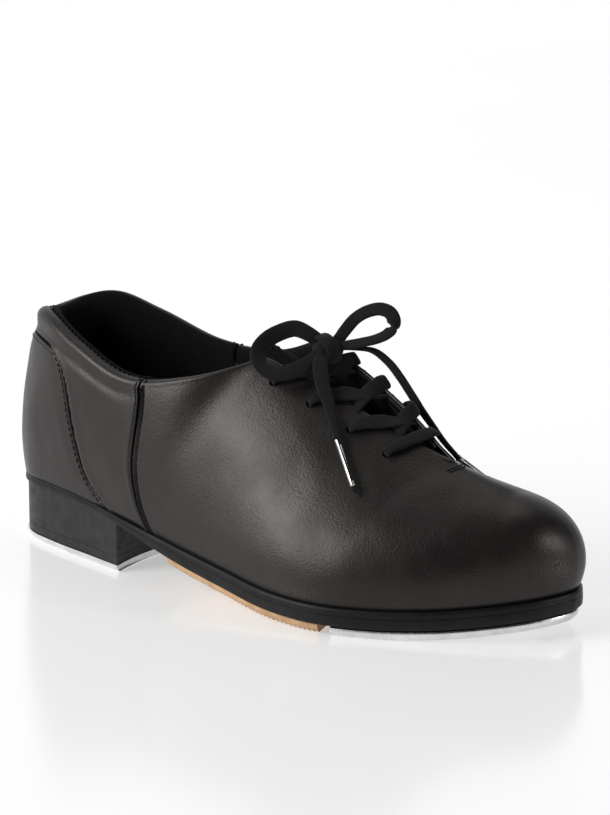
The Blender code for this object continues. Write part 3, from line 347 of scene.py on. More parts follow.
class Finish:
    """A Principled material with a few helpers for wiring texture nodes."""

    def __init__(self, name, colour, roughness, metallic=0.0, **sockets):
        self.material = bpy.data.materials.new(name)
        self.material.use_nodes = True
        self.material.diffuse_color = (*colour, 1)
        self.nodes = self.material.node_tree.nodes
        self.links = self.material.node_tree.links
        self.shader = self.nodes["Principled BSDF"]
        self.shader.inputs["Base Color"].default_value = (*colour, 1)
        self.shader.inputs["Roughness"].default_value = roughness
        self.shader.inputs["Metallic"].default_value = metallic
        for socket, value in sockets.items():
            self.shader.inputs[socket.replace("_", " ")].default_value = value
        self.place = self.nodes.new("ShaderNodeTexCoord").outputs["Object"]
        self.normal = None

    def noise(self, scale, detail=3.0, roughness=0.5, distortion=0.0, stretch=None):
        node = self.nodes.new("ShaderNodeTexNoise")
        node.inputs["Scale"].default_value = scale
        node.inputs["Detail"].default_value = detail
        node.inputs["Roughness"].default_value = roughness
        node.inputs["Distortion"].default_value = distortion
        self.links.new(self.stretched(stretch), node.inputs["Vector"])
        return node.outputs["Fac"]

    def cells(self, scale):
        node = self.nodes.new("ShaderNodeTexVoronoi")
        node.inputs["Scale"].default_value = scale
        self.links.new(self.place, node.inputs["Vector"])
        return node.outputs["Distance"]

    def stretched(self, stretch):
        if stretch is None:
            return self.place
        node = self.nodes.new("ShaderNodeMapping")
        node.inputs["Scale"].default_value = stretch
        self.links.new(self.place, node.inputs["Vector"])
        return node.outputs["Vector"]

    def math(self, kind, a, b=None):
        node = self.nodes.new("ShaderNodeMath")
        node.operation = kind
        for socket, value in zip(node.inputs, (a, b)):
            if value is None:
                continue
            if isinstance(value, (int, float)):
                socket.default_value = value
            else:
                self.links.new(value, socket)
        return node.outputs[0]

    def spread(self, source, low, high, start=0.0, end=1.0):
        node = self.nodes.new("ShaderNodeMapRange")
        for key, value in (("From Min", start), ("From Max", end), ("To Min", low), ("To Max", high)):
            node.inputs[key].default_value = value
        self.links.new(source, node.inputs["Value"])
        return node.outputs["Result"]

    def blend(self, source, low, high, start=0.3, end=0.7):
        node = self.nodes.new("ShaderNodeValToRGB")
        node.color_ramp.elements[0].color = (*low, 1)
        node.color_ramp.elements[1].color = (*high, 1)
        node.color_ramp.elements[0].position = start
        node.color_ramp.elements[1].position = end
        self.links.new(source, node.inputs["Fac"])
        self.links.new(node.outputs["Color"], self.shader.inputs["Base Color"])
        return self

    def rough(self, source, low, high):
        self.links.new(self.spread(source, low, high, 0.3, 0.7), self.shader.inputs["Roughness"])
        return self

    def bump(self, source, height_mm, strength=1.0):
        node = self.nodes.new("ShaderNodeBump")
        node.inputs["Strength"].default_value = strength
        node.inputs["Distance"].default_value = height_mm * 0.001
        self.links.new(source, node.inputs["Height"])
        if self.normal is not None:
            self.links.new(self.normal, node.inputs["Normal"])
        self.normal = node.outputs["Normal"]
        self.links.new(self.normal, self.shader.inputs["Normal"])
        return self


def finish_piece(piece, finish):
    piece.data.materials.clear()
    piece.data.materials.append(finish.material)
    return piece


# %% [markdown]
# Full-grain leather has three scales: pores and cells under a millimetre across, fine directionless
# creases of a few millimetres, and slow changes in sheen where it has been rubbed or stretched on the last.

# %% Leather
LEATHER = Finish("soft black leather", (0.0085, 0.0076, 0.0071), 0.44, Specular_IOR_Level=0.40)
LEATHER.shader.inputs["Specular Tint"].default_value = (1.0, 0.93, 0.89, 1)
creases = LEATHER.noise(390, 5, 0.64, 1.0)
LEATHER.blend(LEATHER.noise(60, 4), (0.0058, 0.0052, 0.0049), (0.0112, 0.0100, 0.0093))
LEATHER.rough(LEATHER.noise(38, 5, 0.6), 0.33, 0.46)
LEATHER.bump(creases, 0.13, 0.6)
LEATHER.bump(LEATHER.cells(1100), 0.07, 0.65)
LEATHER.bump(LEATHER.noise(2600, 2), 0.02, 0.35)

THREAD = Finish("black waxed thread", (0.004, 0.004, 0.004), 0.55, Specular_IOR_Level=0.3)
THREAD.bump(THREAD.noise(4000, 1), 0.04, 0.6)

# %% [markdown]
# The lining is brushed tricot, which drinks light: very rough, a little sheen from its nap, and a tiny
# weave. The lace is braided cotton: its chevrons run along it, so its pattern reads the "weave" values
# that each band stored, millimetres along and across it, rather than the place in the room.

# %% Cloth and braid
CLOTH = Finish("black tricot lining", (0.003, 0.003, 0.0031), 0.95, Sheen_Weight=0.03, Sheen_Roughness=0.5,
               Specular_IOR_Level=0.12)
CLOTH.blend(CLOTH.noise(900, 2), (0.002, 0.002, 0.0021), (0.0045, 0.0045, 0.0046))
CLOTH.bump(CLOTH.noise(1500, 3, 0.7), 0.12, 0.7)


def braid_finish():
    made = Finish("black cotton braid", (0.007, 0.0067, 0.0065), 0.86, Sheen_Weight=0.06,
                  Sheen_Roughness=0.45, Specular_IOR_Level=0.2)
    weave = made.nodes.new("ShaderNodeAttribute")
    weave.attribute_name = "weave"
    parts = made.nodes.new("ShaderNodeSeparateXYZ")
    made.links.new(weave.outputs["Vector"], parts.inputs["Vector"])
    slant = made.math("ABSOLUTE", parts.outputs["Y"])
    along = made.math("ADD", parts.outputs["X"], made.math("MULTIPLY", slant, 0.9))
    yarns = made.math("SINE", made.math("MULTIPLY", along, 6.6))
    columns = made.math("SINE", made.math("MULTIPLY", parts.outputs["Y"], 7.5))
    pattern = made.math("ADD", made.math("MULTIPLY", yarns, 0.5), made.math("MULTIPLY", columns, 0.28))
    tone = made.spread(pattern, 0, 1, -0.8, 0.8)
    made.blend(tone, (0.004, 0.0038, 0.0037), (0.0115, 0.0108, 0.0104), 0.1, 0.9)
    made.bump(pattern, 0.11, 0.75)
    made.bump(made.noise(2200, 2), 0.03, 0.5)
    return made


BRAID = braid_finish()
for free in FREE_LACES:
    finish_piece(free, BRAID)

# %% [markdown]
# The taps are die-cast aluminium: brushed faces and bright bevels. Steel, rubber, fibre board, cork and foam
# are mostly hidden, and each still gets its own finish.

# %% Metal, rubber and boards
ALUMINIUM = Finish("cast aluminium", (0.80, 0.80, 0.81), 0.26, 1.0)
ALUMINIUM.blend(ALUMINIUM.noise(140, 4), (0.70, 0.70, 0.71), (0.86, 0.86, 0.87))
ALUMINIUM.rough(ALUMINIUM.noise(500, 4, 0.6), 0.24, 0.36)
ALUMINIUM.bump(ALUMINIUM.noise(700, 3, 0.6, stretch=(0.25, 1.6, 1)), 0.02, 0.25)
TIP_METAL = Finish("nickel lace tip", (0.40, 0.39, 0.38), 0.2, 1.0)
TIP_METAL.rough(TIP_METAL.noise(900, 3), 0.16, 0.24)
TIP_METAL.bump(TIP_METAL.noise(1200, 2), 0.02, 0.3)
STEEL = Finish("bright steel", (0.56, 0.56, 0.57), 0.33, 1.0)
STEEL.rough(STEEL.noise(800, 3), 0.25, 0.42)
SOLE_EDGE = Finish("inked sole edge", (0.006, 0.0058, 0.0056), 0.45, Specular_IOR_Level=0.2)
SOLE_EDGE.blend(SOLE_EDGE.noise(90, 3), (0.005, 0.0048, 0.0047), (0.009, 0.0087, 0.0084))
SOLE_EDGE.rough(SOLE_EDGE.noise(160, 4), 0.36, 0.55)
SOLE_EDGE.bump(SOLE_EDGE.noise(900, 3, stretch=(1, 1, 0.15)), 0.06, 0.5)
HEEL_STACK = Finish("stacked heel", (0.009, 0.0088, 0.0086), 0.48, Specular_IOR_Level=0.32)
HEEL_STACK.blend(HEEL_STACK.noise(300, 3, stretch=(1, 1, 6)), (0.0065, 0.0063, 0.0062),
                 (0.0135, 0.013, 0.0126))
HEEL_STACK.rough(HEEL_STACK.noise(220, 4), 0.4, 0.6)
HEEL_STACK.bump(HEEL_STACK.noise(420, 3, stretch=(0.2, 0.2, 3)), 0.05, 0.4)
TAN_RUBBER = Finish("tan ball pad", (0.55, 0.34, 0.19), 0.72)
TAN_RUBBER.blend(TAN_RUBBER.noise(220, 4), (0.47, 0.28, 0.15), (0.62, 0.40, 0.23))
TAN_RUBBER.bump(TAN_RUBBER.noise(1300, 3), 0.08, 0.6)
BLACK_BOARD = Finish("black fibre board", (0.012, 0.012, 0.012), 0.75, Specular_IOR_Level=0.3)
BLACK_BOARD.blend(BLACK_BOARD.noise(800, 3), (0.008, 0.008, 0.008), (0.017, 0.0165, 0.016))
BLACK_BOARD.bump(BLACK_BOARD.noise(1500, 2), 0.06, 0.5)
BOARD = Finish("brown stiffener board", (0.33, 0.26, 0.18), 0.85)
BOARD.blend(BOARD.noise(600, 4), (0.27, 0.21, 0.14), (0.40, 0.33, 0.24))
BOARD.bump(BOARD.noise(1400, 2), 0.08, 0.5)
CORK = Finish("ground cork", (0.36, 0.22, 0.12), 0.9)
CORK.blend(CORK.cells(520), (0.20, 0.11, 0.06), (0.45, 0.29, 0.16), 0.1, 0.7)
CORK.bump(CORK.cells(520), 0.25, 0.7)
FOAM = Finish("grey collar foam", (0.26, 0.26, 0.25), 0.95)
FOAM.blend(FOAM.cells(1500), (0.14, 0.14, 0.135), (0.32, 0.32, 0.31), 0.1, 0.6)
FOAM.bump(FOAM.cells(1500), 0.2, 0.7)
for sleeve, tuft in (tip_outer, tip_inner):
    finish_piece(sleeve, TIP_METAL)
    finish_piece(tuft, BRAID)

# %% [markdown]
# ## The shape of the last
# The upper is pulled over a last, so its panels share one surface. Two numbers give any place on it: how far
# round one side from heel to toe (t), and how far up the side from the sole (v). The tables hold the
# outline of the sole, the height of the heel and toe, the top line and the swell of the sides.

# %% Stations of the last
LATERAL_PLAN = (
    (0.000, 0.8, 1.1), (0.015, 0.9, -3.2), (0.04, 1.9, -10.3), (0.09, 5.3, -19.6), (0.16, 12.2, -26.1),
    (0.24, 21.4, -31.5), (0.33, 31.3, -37.0), (0.42, 41.2, -40.8), (0.52, 51.9, -45.1), (0.62, 62.2, -48.9),
    (0.70, 71.0, -46.7), (0.78, 79.4, -37.5), (0.85, 87.0, -25.0), (0.91, 93.1, -9.8), (0.96, 96.9, 4.3),
    (0.985, 98.2, 13.1), (1.000, 98.5, 18.5),
)
MEDIAL_PLAN = (
    (0.000, 0.8, 1.1), (0.015, 0.9, 5.4), (0.04, 1.9, 11.9), (0.09, 5.7, 20.7), (0.16, 13.0, 27.7),
    (0.24, 22.1, 29.3), (0.33, 32.1, 26.6), (0.42, 42.0, 25.5), (0.52, 51.9, 30.4), (0.62, 61.8, 40.2),
    (0.70, 71.0, 46.7), (0.78, 79.4, 50.0), (0.85, 87.0, 48.4), (0.91, 93.1, 40.8), (0.96, 96.9, 30.4),
    (0.985, 98.2, 23.7), (1.000, 98.5, 18.5),
)
ARCH = (
    (0, 0.97), (12, 1.02), (22, 0.93), (31, 0.76), (41, 0.51), (52, 0.27), (62, 0.07), (67, 0.015), (71, 0.0),
    (75, 0.0), (100, 0.0),
)
SPRING = ((0, 0.0), (71, 0.0), (75, 0.0), (79.4, 0.04), (87, 0.28), (93.1, 0.62), (98.5, 1.0), (100, 1.1))
SOLE_TAPER = ((0, 0.4), (27, 0.4), (31, 0.5), (41, 0.84), (52, 0.97), (62, 1.0), (100, 1.0))
CORNER, THROAT, POLE = 0.46, 0.70, 0.90
LATERAL_TOP = (
    (0.00, 5.3, 0.8, 67.0), (0.015, 5.5, -3.6, 67.5), (0.05, 7.4, -13.0, 69.5), (0.11, 12.0, -22.0, 68.5),
    (0.18, 19.1, -28.0, 62.5), (0.26, 29.0, -31.0, 56.5), (0.36, 41.2, -27.5, 65.0),
    (0.46, 50.8, -10.9, 77.0),
)
MEDIAL_TOP = (
    (0.00, 5.3, 0.8, 67.0), (0.015, 5.5, 5.2, 67.5), (0.05, 6.9, 13.0, 69.5), (0.11, 11.2, 21.5, 71.5),
    (0.18, 18.5, 27.0, 66.5), (0.26, 29.0, 29.3, 61.0), (0.36, 42.7, 25.0, 67.5), (0.46, 54.6, 12.0, 82.5),
)
LATERAL_EDGE = (
    (0.46, 50.8, -10.9, 77.0), (0.54, 61.1, -6.5, 70.8), (0.62, 72.5, -2.2, 59.2), (0.70, 81.3, 3.3, 50.5),
)
MEDIAL_EDGE = (
    (0.46, 54.6, 12.0, 82.5), (0.54, 64.1, 9.2, 76.0), (0.62, 73.3, 6.5, 64.5), (0.70, 81.3, 3.3, 50.5),
)
RIDGE = ((0.70, 81.3, 3.3, 50.5), (0.77, 84.7, 5.4, 46.3), (0.84, 88.2, 8.7, 42.0), (0.90, 90.1, 12.0, 39.0))
PROFILE = (
    (0.00, 24, 4.0, 3, 16), (0.09, 24, 4.0, 3, 18), (0.24, 26, 3.0, 4, 16), (0.36, 24, 3.0, 7, 16),
    (0.46, 24, 3.0, 14, 10), (0.58, 24, 4.0, 19, 6.5), (0.70, 22, 5.0, 20, 4), (0.85, 20, 6.5, 20, 2.5),
    (1.00, 19, 7.5, 19, 3.5),
)
SIDE_SEAM = ((0.0, 0.371), (0.13, 0.351), (0.3, 0.332), (0.56, 0.314), (1.0, 0.291))
COVER_EDGE = (
    (0.0, 0.278), (0.1, 0.243), (0.2, 0.227), (0.35, 0.211), (0.5, 0.196), (0.65, 0.182), (0.78, 0.166),
    (0.85, 0.150), (0.885, 0.125),
)
COVER_TOP = 0.885
EYELET_ROWS = (0.488, 0.540, 0.590, 0.640)
EYELET_INSET = (7.2, 8.8, 9.6, 11.0)
TREAD_Z = 11.5
SEAT_Z = 26.54
TOE_SPRING = 5.0
OUTSOLE, WELT, GAP = 4.2, 2.4, 0.35

# %% Surface of the last


def sole_share(x):
    return curve_through(SOLE_TAPER, 100 * np.atleast_1d(x) / LENGTH)[:, 0]


def feather_z(x):
    percent = 100 * np.atleast_1d(x) / LENGTH
    rise = (SEAT_Z - TREAD_Z) * curve_through(ARCH, percent)[:, 0]
    return TREAD_Z + rise + TOE_SPRING * curve_through(SPRING, percent)[:, 0]


def plan_point(side, t):
    plan = curve_through(LATERAL_PLAN if side < 0 else MEDIAL_PLAN, t)
    return plan * (LENGTH / 100, BALL_WIDTH / 100)


def feather(side, t):
    plan = plan_point(side, t)
    return np.column_stack([plan, feather_z(plan[:, 0])])


def outward(side, t):
    t = np.atleast_1d(t)
    ahead = plan_point(side, np.minimum(t + 0.002, 1)) - plan_point(side, np.maximum(t - 0.002, 0))
    out = np.column_stack([ahead[:, 1], -ahead[:, 0]]) * -side
    out = np.where((t > 0.999)[:, None], (1.0, 0.0), out)
    out = np.where((t < 0.001)[:, None], (-1.0, 0.0), out)
    return np.column_stack([unit(out), np.zeros(len(out))])


def over_feather(stations, t):
    row = curve_through(stations, t) * (LENGTH / 100, BALL_WIDTH / 100, 1.0)
    row[:, 2] += feather_z(row[:, 0])
    return row


def roll_radius(t):
    return np.interp(t, (0, 0.3, CORNER), (4.0, 2.6, 1.2))


def rim(side, t):
    top, edge = (LATERAL_TOP, LATERAL_EDGE) if side < 0 else (MEDIAL_TOP, MEDIAL_EDGE)
    t = np.atleast_1d(t)
    drop = roll_radius(t) * np.clip((THROAT - t) / (THROAT - CORNER), 0, 1) ** 4
    drop = np.where(t <= CORNER, roll_radius(t), drop)[:, None]
    points = np.where((t <= CORNER)[:, None], over_feather(top, t), over_feather(edge, t))
    points = points + outward(side, t) * drop - np.array([0, 0, 1.0]) * drop
    return np.where((t > THROAT)[:, None], over_feather(RIDGE, t), points)


def skin(side, t, v):
    t = np.atleast_1d(np.asarray(t, float))
    v = np.broadcast_to(np.asarray(v, float), t.shape)[:, None]
    low, high, out = feather(side, t), rim(side, t), outward(side, t)
    rise, bulge, reach, drop = (column[:, None] for column in curve_through(PROFILE, t).T)
    up = np.array([0, 0, 1.0])
    away = unit(np.column_stack([(low - high)[:, :2], np.zeros(len(t))]))
    mix = ease((t - 0.3) / 0.15)[:, None]
    away = unit(away * mix + out * (1 - mix))
    first = low + out * bulge + up * rise
    second = high + away * reach - up * drop
    w = 1 - v
    return w**3 * low + 3 * w**2 * v * first + 3 * w * v * v * second + v**3 * high


def side_normal(side, t, v):
    v = np.minimum(v, 0.99)
    along = skin(side, np.minimum(t + 0.001, 1), v) - skin(side, np.maximum(t - 0.001, 0), v)
    upward = skin(side, t, v + 0.001) - skin(side, t, np.maximum(v - 0.001, 0))
    return unit(np.cross(along, upward) * -side)


def skin_normal(side, t, v):
    t = np.atleast_1d(np.asarray(t, float))
    v = np.broadcast_to(np.asarray(v, float), t.shape)
    ridge_t = np.clip(t, THROAT, POLE)
    ridge = unit(side_normal(-1, ridge_t, np.ones_like(t)) + side_normal(1, ridge_t, np.ones_like(t)))
    on_ridge = (t >= THROAT - 1e-9) & (v > 0.999)
    return np.where(on_ridge[:, None], ridge, side_normal(side, t, v))


def over_skin(side, t, v, height):
    height = np.broadcast_to(np.asarray(height, float), np.atleast_1d(t).shape)
    return skin(side, t, v) + skin_normal(side, t, v) * height[:, None]


def by_side(q, place):
    """Fills in points for signed shares q, negative on the outer side, from place(side, which of them)."""
    out = np.empty((len(q), 3))
    for side in (-1, 1):
        mine = q <= 0 if side < 0 else q > 0
        if mine.any():
            out[mine] = place(side, mine)
    return out


def both_sides(q, v, height):
    """Points over the skin for signed shares q."""
    height = np.broadcast_to(height, q.shape)
    return by_side(q, lambda side, mine: over_skin(side, np.abs(q[mine]), v[mine], height[mine]))


print("toe is at x =", round(float(plan_point(-1, 1.0)[0, 0]), 1), "mm on the last")

# %% [markdown]
# ## From surface to leather
# Each panel is a fine grid on the last, made solid inward with a Solidify modifier. A perfectly smooth
# panel would look like moulded plastic, so a slow, low ripple of a quarter of a millimetre moves the
# surface first. It depends only on the place, so neighbouring panels ripple together.

# %% Panel helpers


def ripple(points, wavelength, seed):
    """Slow waves from every side, added up: about -1 to 1."""
    draw = np.random.default_rng(seed)
    total = np.zeros(len(points))
    for _ in range(7):
        heading = unit(draw.normal(size=3))
        phase = draw.uniform(0, 2 * np.pi)
        stretch = draw.uniform(0.7, 1.6)
        total += np.sin(points @ heading * 2 * np.pi / (wavelength * stretch) + phase)
    return total / 3.5


def pulled_leather(points, v):
    """Height in millimetres of the slow ripples, fading out at the sole."""
    calm = ease(v / 0.25)
    folds = np.maximum(ripple(points, 24, 5), 0) * 0.16 + ripple(points, 52, 8) * 0.28
    return calm * (folds + ripple(points, 9, 3) * 0.035)


def face_away(mesh):
    """Turns an open sheet so that it faces away from the foot."""
    middle = to_frame((LENGTH / 2, 0, TREAD_Z + 25))
    away = sum(float((np.array(f.center) - middle) @ np.array(f.normal)) * f.area for f in mesh.polygons)
    if away < 0:
        mesh.flip_normals()
    mesh.update()
    return mesh


def sheet_mesh(name, points):
    """A grid of points (columns, rows, 3) as one smooth open surface that faces away from the foot."""
    columns, rows = points.shape[:2]
    index = np.arange(columns * rows).reshape(columns, rows)
    quads = np.stack([index[:-1, :-1], index[1:, :-1], index[1:, 1:], index[:-1, 1:]], axis=-1)
    mesh = bpy.data.meshes.new(name)
    mesh.from_pydata(to_frame(points.reshape(-1, 3)).tolist(), [], quads.reshape(-1, 4).tolist())
    return face_away(clean_mesh(mesh, merge=2e-6))


def grid(columns, rows):
    """Every pair of a column and a row as two flat lists, and the shape that folds them back."""
    i, j = np.meshgrid(columns, rows, indexing="ij")
    return i.ravel(), j.ravel(), i.shape


def thicken(piece, millimetres):
    solid = piece.modifiers.new("leather thickness", "SOLIDIFY")
    solid.thickness = millimetres * 0.001
    solid.offset = -1.0
    solid.use_quality_normals = True
    return piece


def settle_modifiers(piece):
    """Turns the piece and its modifiers into one plain mesh."""
    graph = bpy.context.evaluated_depsgraph_get()
    made = bpy.data.meshes.new_from_object(piece.evaluated_get(graph))
    old = piece.data
    piece.modifiers.clear()
    piece.data = made
    bpy.data.meshes.remove(old)
    return piece


# %% [markdown]
# The top line is padded: the leather goes over a foam roll and a little way down inside, where the lining
# is stitched to it. Along the facings the same edge is only a tight fold. One frame of directions, turned
# slowly from the first to the second, serves both.

# %% Turned edge


def edge_frame(side, t):
    mix = ease((t - CORNER + 0.03) / 0.07)[:, None]
    flat_beyond = unit(skin(side, t, 1.0) - skin(side, t, 0.985))
    out = unit(outward(side, t) * (1 - mix) + side_normal(side, t, np.full_like(t, 0.985)) * mix)
    beyond = unit(np.array([0, 0, 1.0]) * (1 - mix) + flat_beyond * mix)
    beyond = unit(beyond - out * np.sum(beyond * out, axis=1, keepdims=True))
    stations = (0, 0.3, CORNER - 0.02, CORNER + 0.04, THROAT - 0.04, THROAT)
    radius = np.interp(t, stations, (4.0, 2.6, 1.3, 0.8, 0.7, 0.3))
    return out, beyond, radius


def turned_edge(side, t, turn, drop=0.0, puff=0.0):
    """turn runs from 0 outside to 180 degrees inside, and drop goes down from there, in millimetres."""
    t = np.atleast_1d(np.asarray(t, float))
    out, beyond, radius = edge_frame(side, t)
    angle = np.radians(np.broadcast_to(turn, t.shape))
    drop = np.broadcast_to(drop, t.shape) * np.interp(t, (0, CORNER, CORNER + 0.05), (1, 1, 0.35))
    swell = radius + np.broadcast_to(puff, t.shape)
    centre = rim(side, t) - out * radius[:, None]
    return (centre + out * (swell * np.cos(angle))[:, None] + beyond * (swell * np.sin(angle))[:, None]
            - beyond * drop[:, None])


# %% [markdown]
# The side seam is two panels butted together and held by a tape underneath, with a row of stitches each
# side. The thread pulls the leather down, so a soft ridge stands between the groove and each row. Around
# the counter cover the row sits close to the edge.

# %% Seams and reliefs
STITCH_ROW = 1.95


def seam_relief(distance):
    """Height of the leather at a distance in millimetres from the butted edge."""
    ridge = 0.62 * np.exp(-((distance - 1.0) / 0.46) ** 2)
    row = -0.34 * np.exp(-((distance - STITCH_ROW) / 0.34) ** 2)
    beside = 0.16 * np.exp(-((distance - 3.2) / 0.7) ** 2)
    return ridge + row + beside - 0.7 * np.exp(-(distance / 0.34) ** 2)


def millimetres_round(side, t, v):
    """How many millimetres one whole share t is worth here."""
    step = skin(side, np.minimum(t + 0.001, 1), v) - skin(side, np.maximum(t - 0.001, 0), v)
    return np.linalg.norm(step, axis=1) / 0.002


NEAR_SEAM = np.array([0.0, 0.0009, 0.0018, 0.0027, 0.0036, 0.0046, 0.0056, 0.0066, 0.0078, 0.0092, 0.011,
                      0.014, 0.018, 0.023])
SEAM_TOP = SIDE_SEAM[-1][1]
SEAM_GAP = 0.0011


def vamp_columns():
    far = np.arange(SEAM_TOP + 0.030, 0.9985, 0.006)
    return np.concatenate([SEAM_TOP + SEAM_GAP + NEAR_SEAM, far, [0.9988]])


def vamp_share(column, v):
    shift = curve_through(SIDE_SEAM, v)[:, 0] - SEAM_TOP
    return column + shift * (1 - ease((column - 0.325) / (CORNER - 0.325)))


# %% [markdown]
# ## Vamp
# The vamp is one piece from seam to seam round the toe, with both facings. It is modelled as two halves
# that meet on the ridge, welded, and then relaxed along the ridge with a Smooth modifier so that the toe
# is as round as a lasted one.

# %% Vamp surface
VAMP_ROWS = np.linspace(0, 1, 58)


def vamp_half(side, columns):
    column, v, shape = grid(columns, VAMP_ROWS)
    t = vamp_share(column, v)
    seam = curve_through(SIDE_SEAM, v)[:, 0]
    distance = (t - seam) * millimetres_round(side, t, v)
    height = np.where(distance < 6, seam_relief(distance), 0.0)
    plain = skin(side, t, v)
    height = height + pulled_leather(plain, v) * ease((1 - v) / 0.12)
    height = height - 0.35 * np.exp(-(v / 0.02) ** 2)
    return (plain + skin_normal(side, t, v) * height[:, None]).reshape(*shape, 3)


columns = vamp_columns()
lateral_half = vamp_half(-1, columns)
medial_half = vamp_half(1, columns)
toe_line = ((lateral_half[-1] + medial_half[-1]) / 2)[None]
toe_line[0, :, 0] += 0.02
vamp_wall = np.concatenate([lateral_half, toe_line, medial_half[::-1]])
vamp_wall[:, -1][columns.searchsorted(POLE):-columns.searchsorted(POLE)] = over_feather(RIDGE, [POLE])[0]
ridge_low, ridge_high = columns.searchsorted(THROAT), columns.searchsorted(POLE)
for k in range(ridge_low, ridge_high):
    vamp_wall[k, -1] = vamp_wall[-1 - k, -1] = (vamp_wall[k, -1] + vamp_wall[-1 - k, -1]) / 2
print("vamp grid", vamp_wall.shape)

# %% Turned edges of the vamp, welded to it
VAMP_TURNS = np.linspace(0, 180, 11)


def edge_strip(side, columns, turns, drops, start):
    """The rolled edge as a grid: first row on the rim, last row inside."""
    rows = [start]
    for turn, drop in zip(turns[1:], drops[1:]):
        rows.append(turned_edge(side, columns, turn, drop))
    return np.stack(rows, axis=1)


edge_columns = columns[columns < THROAT]
strips = []
for side in (-1, 1):
    start = vamp_wall[:len(edge_columns), -1] if side < 0 else vamp_wall[::-1][:len(edge_columns), -1]
    turns = np.concatenate([VAMP_TURNS, [180, 180, 180]])
    drops = np.concatenate([np.zeros(len(VAMP_TURNS)), [1.2, 2.8, 4.5]])
    strips.append(edge_strip(side, edge_columns, turns, drops, start))


def join_sheets(name, sheets, weights=None):
    """Several grids in one mesh, welded where their points meet. weights go into a vertex group."""
    points, faces, worth, offset = [], [], [], 0
    for number, sheet in enumerate(sheets):
        c, r = sheet.shape[:2]
        index = np.arange(c * r).reshape(c, r) + offset
        quads = np.stack([index[:-1, :-1], index[1:, :-1], index[1:, 1:], index[:-1, 1:]], axis=-1)
        points.append(sheet.reshape(-1, 3))
        faces.extend(quads.reshape(-1, 4).tolist())
        weight = None if weights is None else weights[number]
        worth.append(np.zeros(c * r) if weight is None else weight.ravel())
        offset += c * r
    mesh = bpy.data.meshes.new(name)
    mesh.from_pydata(to_frame(np.concatenate(points)).tolist(), [], faces)
    layer = mesh.attributes.new("ease_weight", "FLOAT", "POINT")
    layer.data.foreach_set("value", np.concatenate(worth))
    return face_away(clean_mesh(mesh, merge=2e-6))


wall_t = np.concatenate([columns, [1.0], columns[::-1]])
wall_weight = (ease((VAMP_ROWS[None, :] - 0.66) / 0.3) * ease((wall_t[:, None] - THROAT + 0.02) / 0.05))
vamp_mesh = join_sheets("leather_vamp", [vamp_wall, *strips], [wall_weight, None, None])
vamp = new_piece("leather_vamp", vamp_mesh)
group = vamp.vertex_groups.new(name="ridge")
worth = [item.value for item in vamp_mesh.attributes["ease_weight"].data]
for vertex, value in enumerate(worth):
    if value > 0.01:
        group.add([vertex], value, "REPLACE")
relax = vamp.modifiers.new("relax the ridge", "SMOOTH")
relax.factor = 0.6
relax.iterations = 40
relax.vertex_group = "ridge"
thicken(vamp, 1.1)
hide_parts("vamp")
finish_piece(vamp, LEATHER)
print("vamp faces:", len(vamp_mesh.polygons))

# %% [markdown]
# The lace holes are punched, without metal rings: plain round holes through the facing. A Boolean with eight
# short rods does what the punch does.

# %% Lace holes


def eyelet_place(side, row):
    t = EYELET_ROWS[row] + (0.012 if side > 0 else 0.0)
    shares = np.linspace(1.0, 0.6, 81)
    walk = skin(side, np.full(81, t), shares)
    run = np.concatenate([[0], np.cumsum(np.linalg.norm(np.diff(walk, axis=0), axis=1))])
    v = float(np.interp(EYELET_INSET[row] if side < 0 else 7.0, run, shares))
    return skin(side, [t], [v])[0], skin_normal(side, [t], [v])[0], t, v


def cut_rods(piece, name, rods, segments, crossing=False):
    """Cuts rods out of a piece. Each is a matrix, a radius and a depth, and crossing ones may overlap."""
    bm = bmesh.new()
    for place, radius, depth in rods:
        bmesh.ops.create_cone(bm, cap_ends=True, segments=segments, radius1=radius * 0.001,
                              radius2=radius * 0.001, depth=depth * 0.001, matrix=place)
    mesh = bpy.data.meshes.new(name)
    bm.to_mesh(mesh)
    bm.free()
    tool = bpy.data.objects.new(name, mesh)
    bpy.context.scene.collection.objects.link(tool)
    cut = piece.modifiers.new(name, "BOOLEAN")
    cut.operation = "DIFFERENCE"
    cut.solver = "EXACT"
    cut.use_self = crossing
    cut.object = tool
    settle_modifiers(piece)
    bpy.data.objects.remove(tool, do_unlink=True)


HOLE_RADIUS, PUNCH_DEPTH, PUNCH_PROUD = 1.9, 6.0, 2.0
punches = []
for row in range(len(EYELET_ROWS)):
    for side in (-1, 1):
        centre, normal, _, _ = eyelet_place(side, row)
        turn = Vector((0, 0, 1)).rotation_difference(Vector(normal)).to_matrix().to_4x4()
        turn.translation = Vector(to_frame(centre - normal * (PUNCH_DEPTH / 2 - PUNCH_PROUD)))
        punches.append((turn, HOLE_RADIUS, PUNCH_DEPTH))
cut_rods(vamp, "lace_holes", punches, 24)
smooth_faces(vamp.data, 45)
print("vamp with holes:", len(vamp.data.polygons), "faces")

# %% [markdown]
# ## Rear panels
# Two side panels meet at the back of the heel, hidden by the counter cover below and by a short seam
# above it. Each runs up the wall, over the padded roll and down inside to the lining.

# %% Quarters


def cover_edge(v):
    return curve_through(COVER_EDGE, v)[:, 0]


def under_cover(t, v):
    """How far the panel sits back under the counter cover."""
    past = ease((cover_edge(v) + 0.0045 - t) / 0.004)
    above = ease((COVER_TOP + 0.018 - v) / 0.014)
    return 1.08 * past * above


def quarter_columns():
    near = SEAM_TOP - SEAM_GAP - NEAR_SEAM[::-1]
    return np.concatenate([np.arange(0.0011, near[0] - 0.004, 0.0042), near])


QUARTER_ROWS = np.concatenate([np.linspace(0, 0.82, 44), np.linspace(0.835, 1.0, 16)])


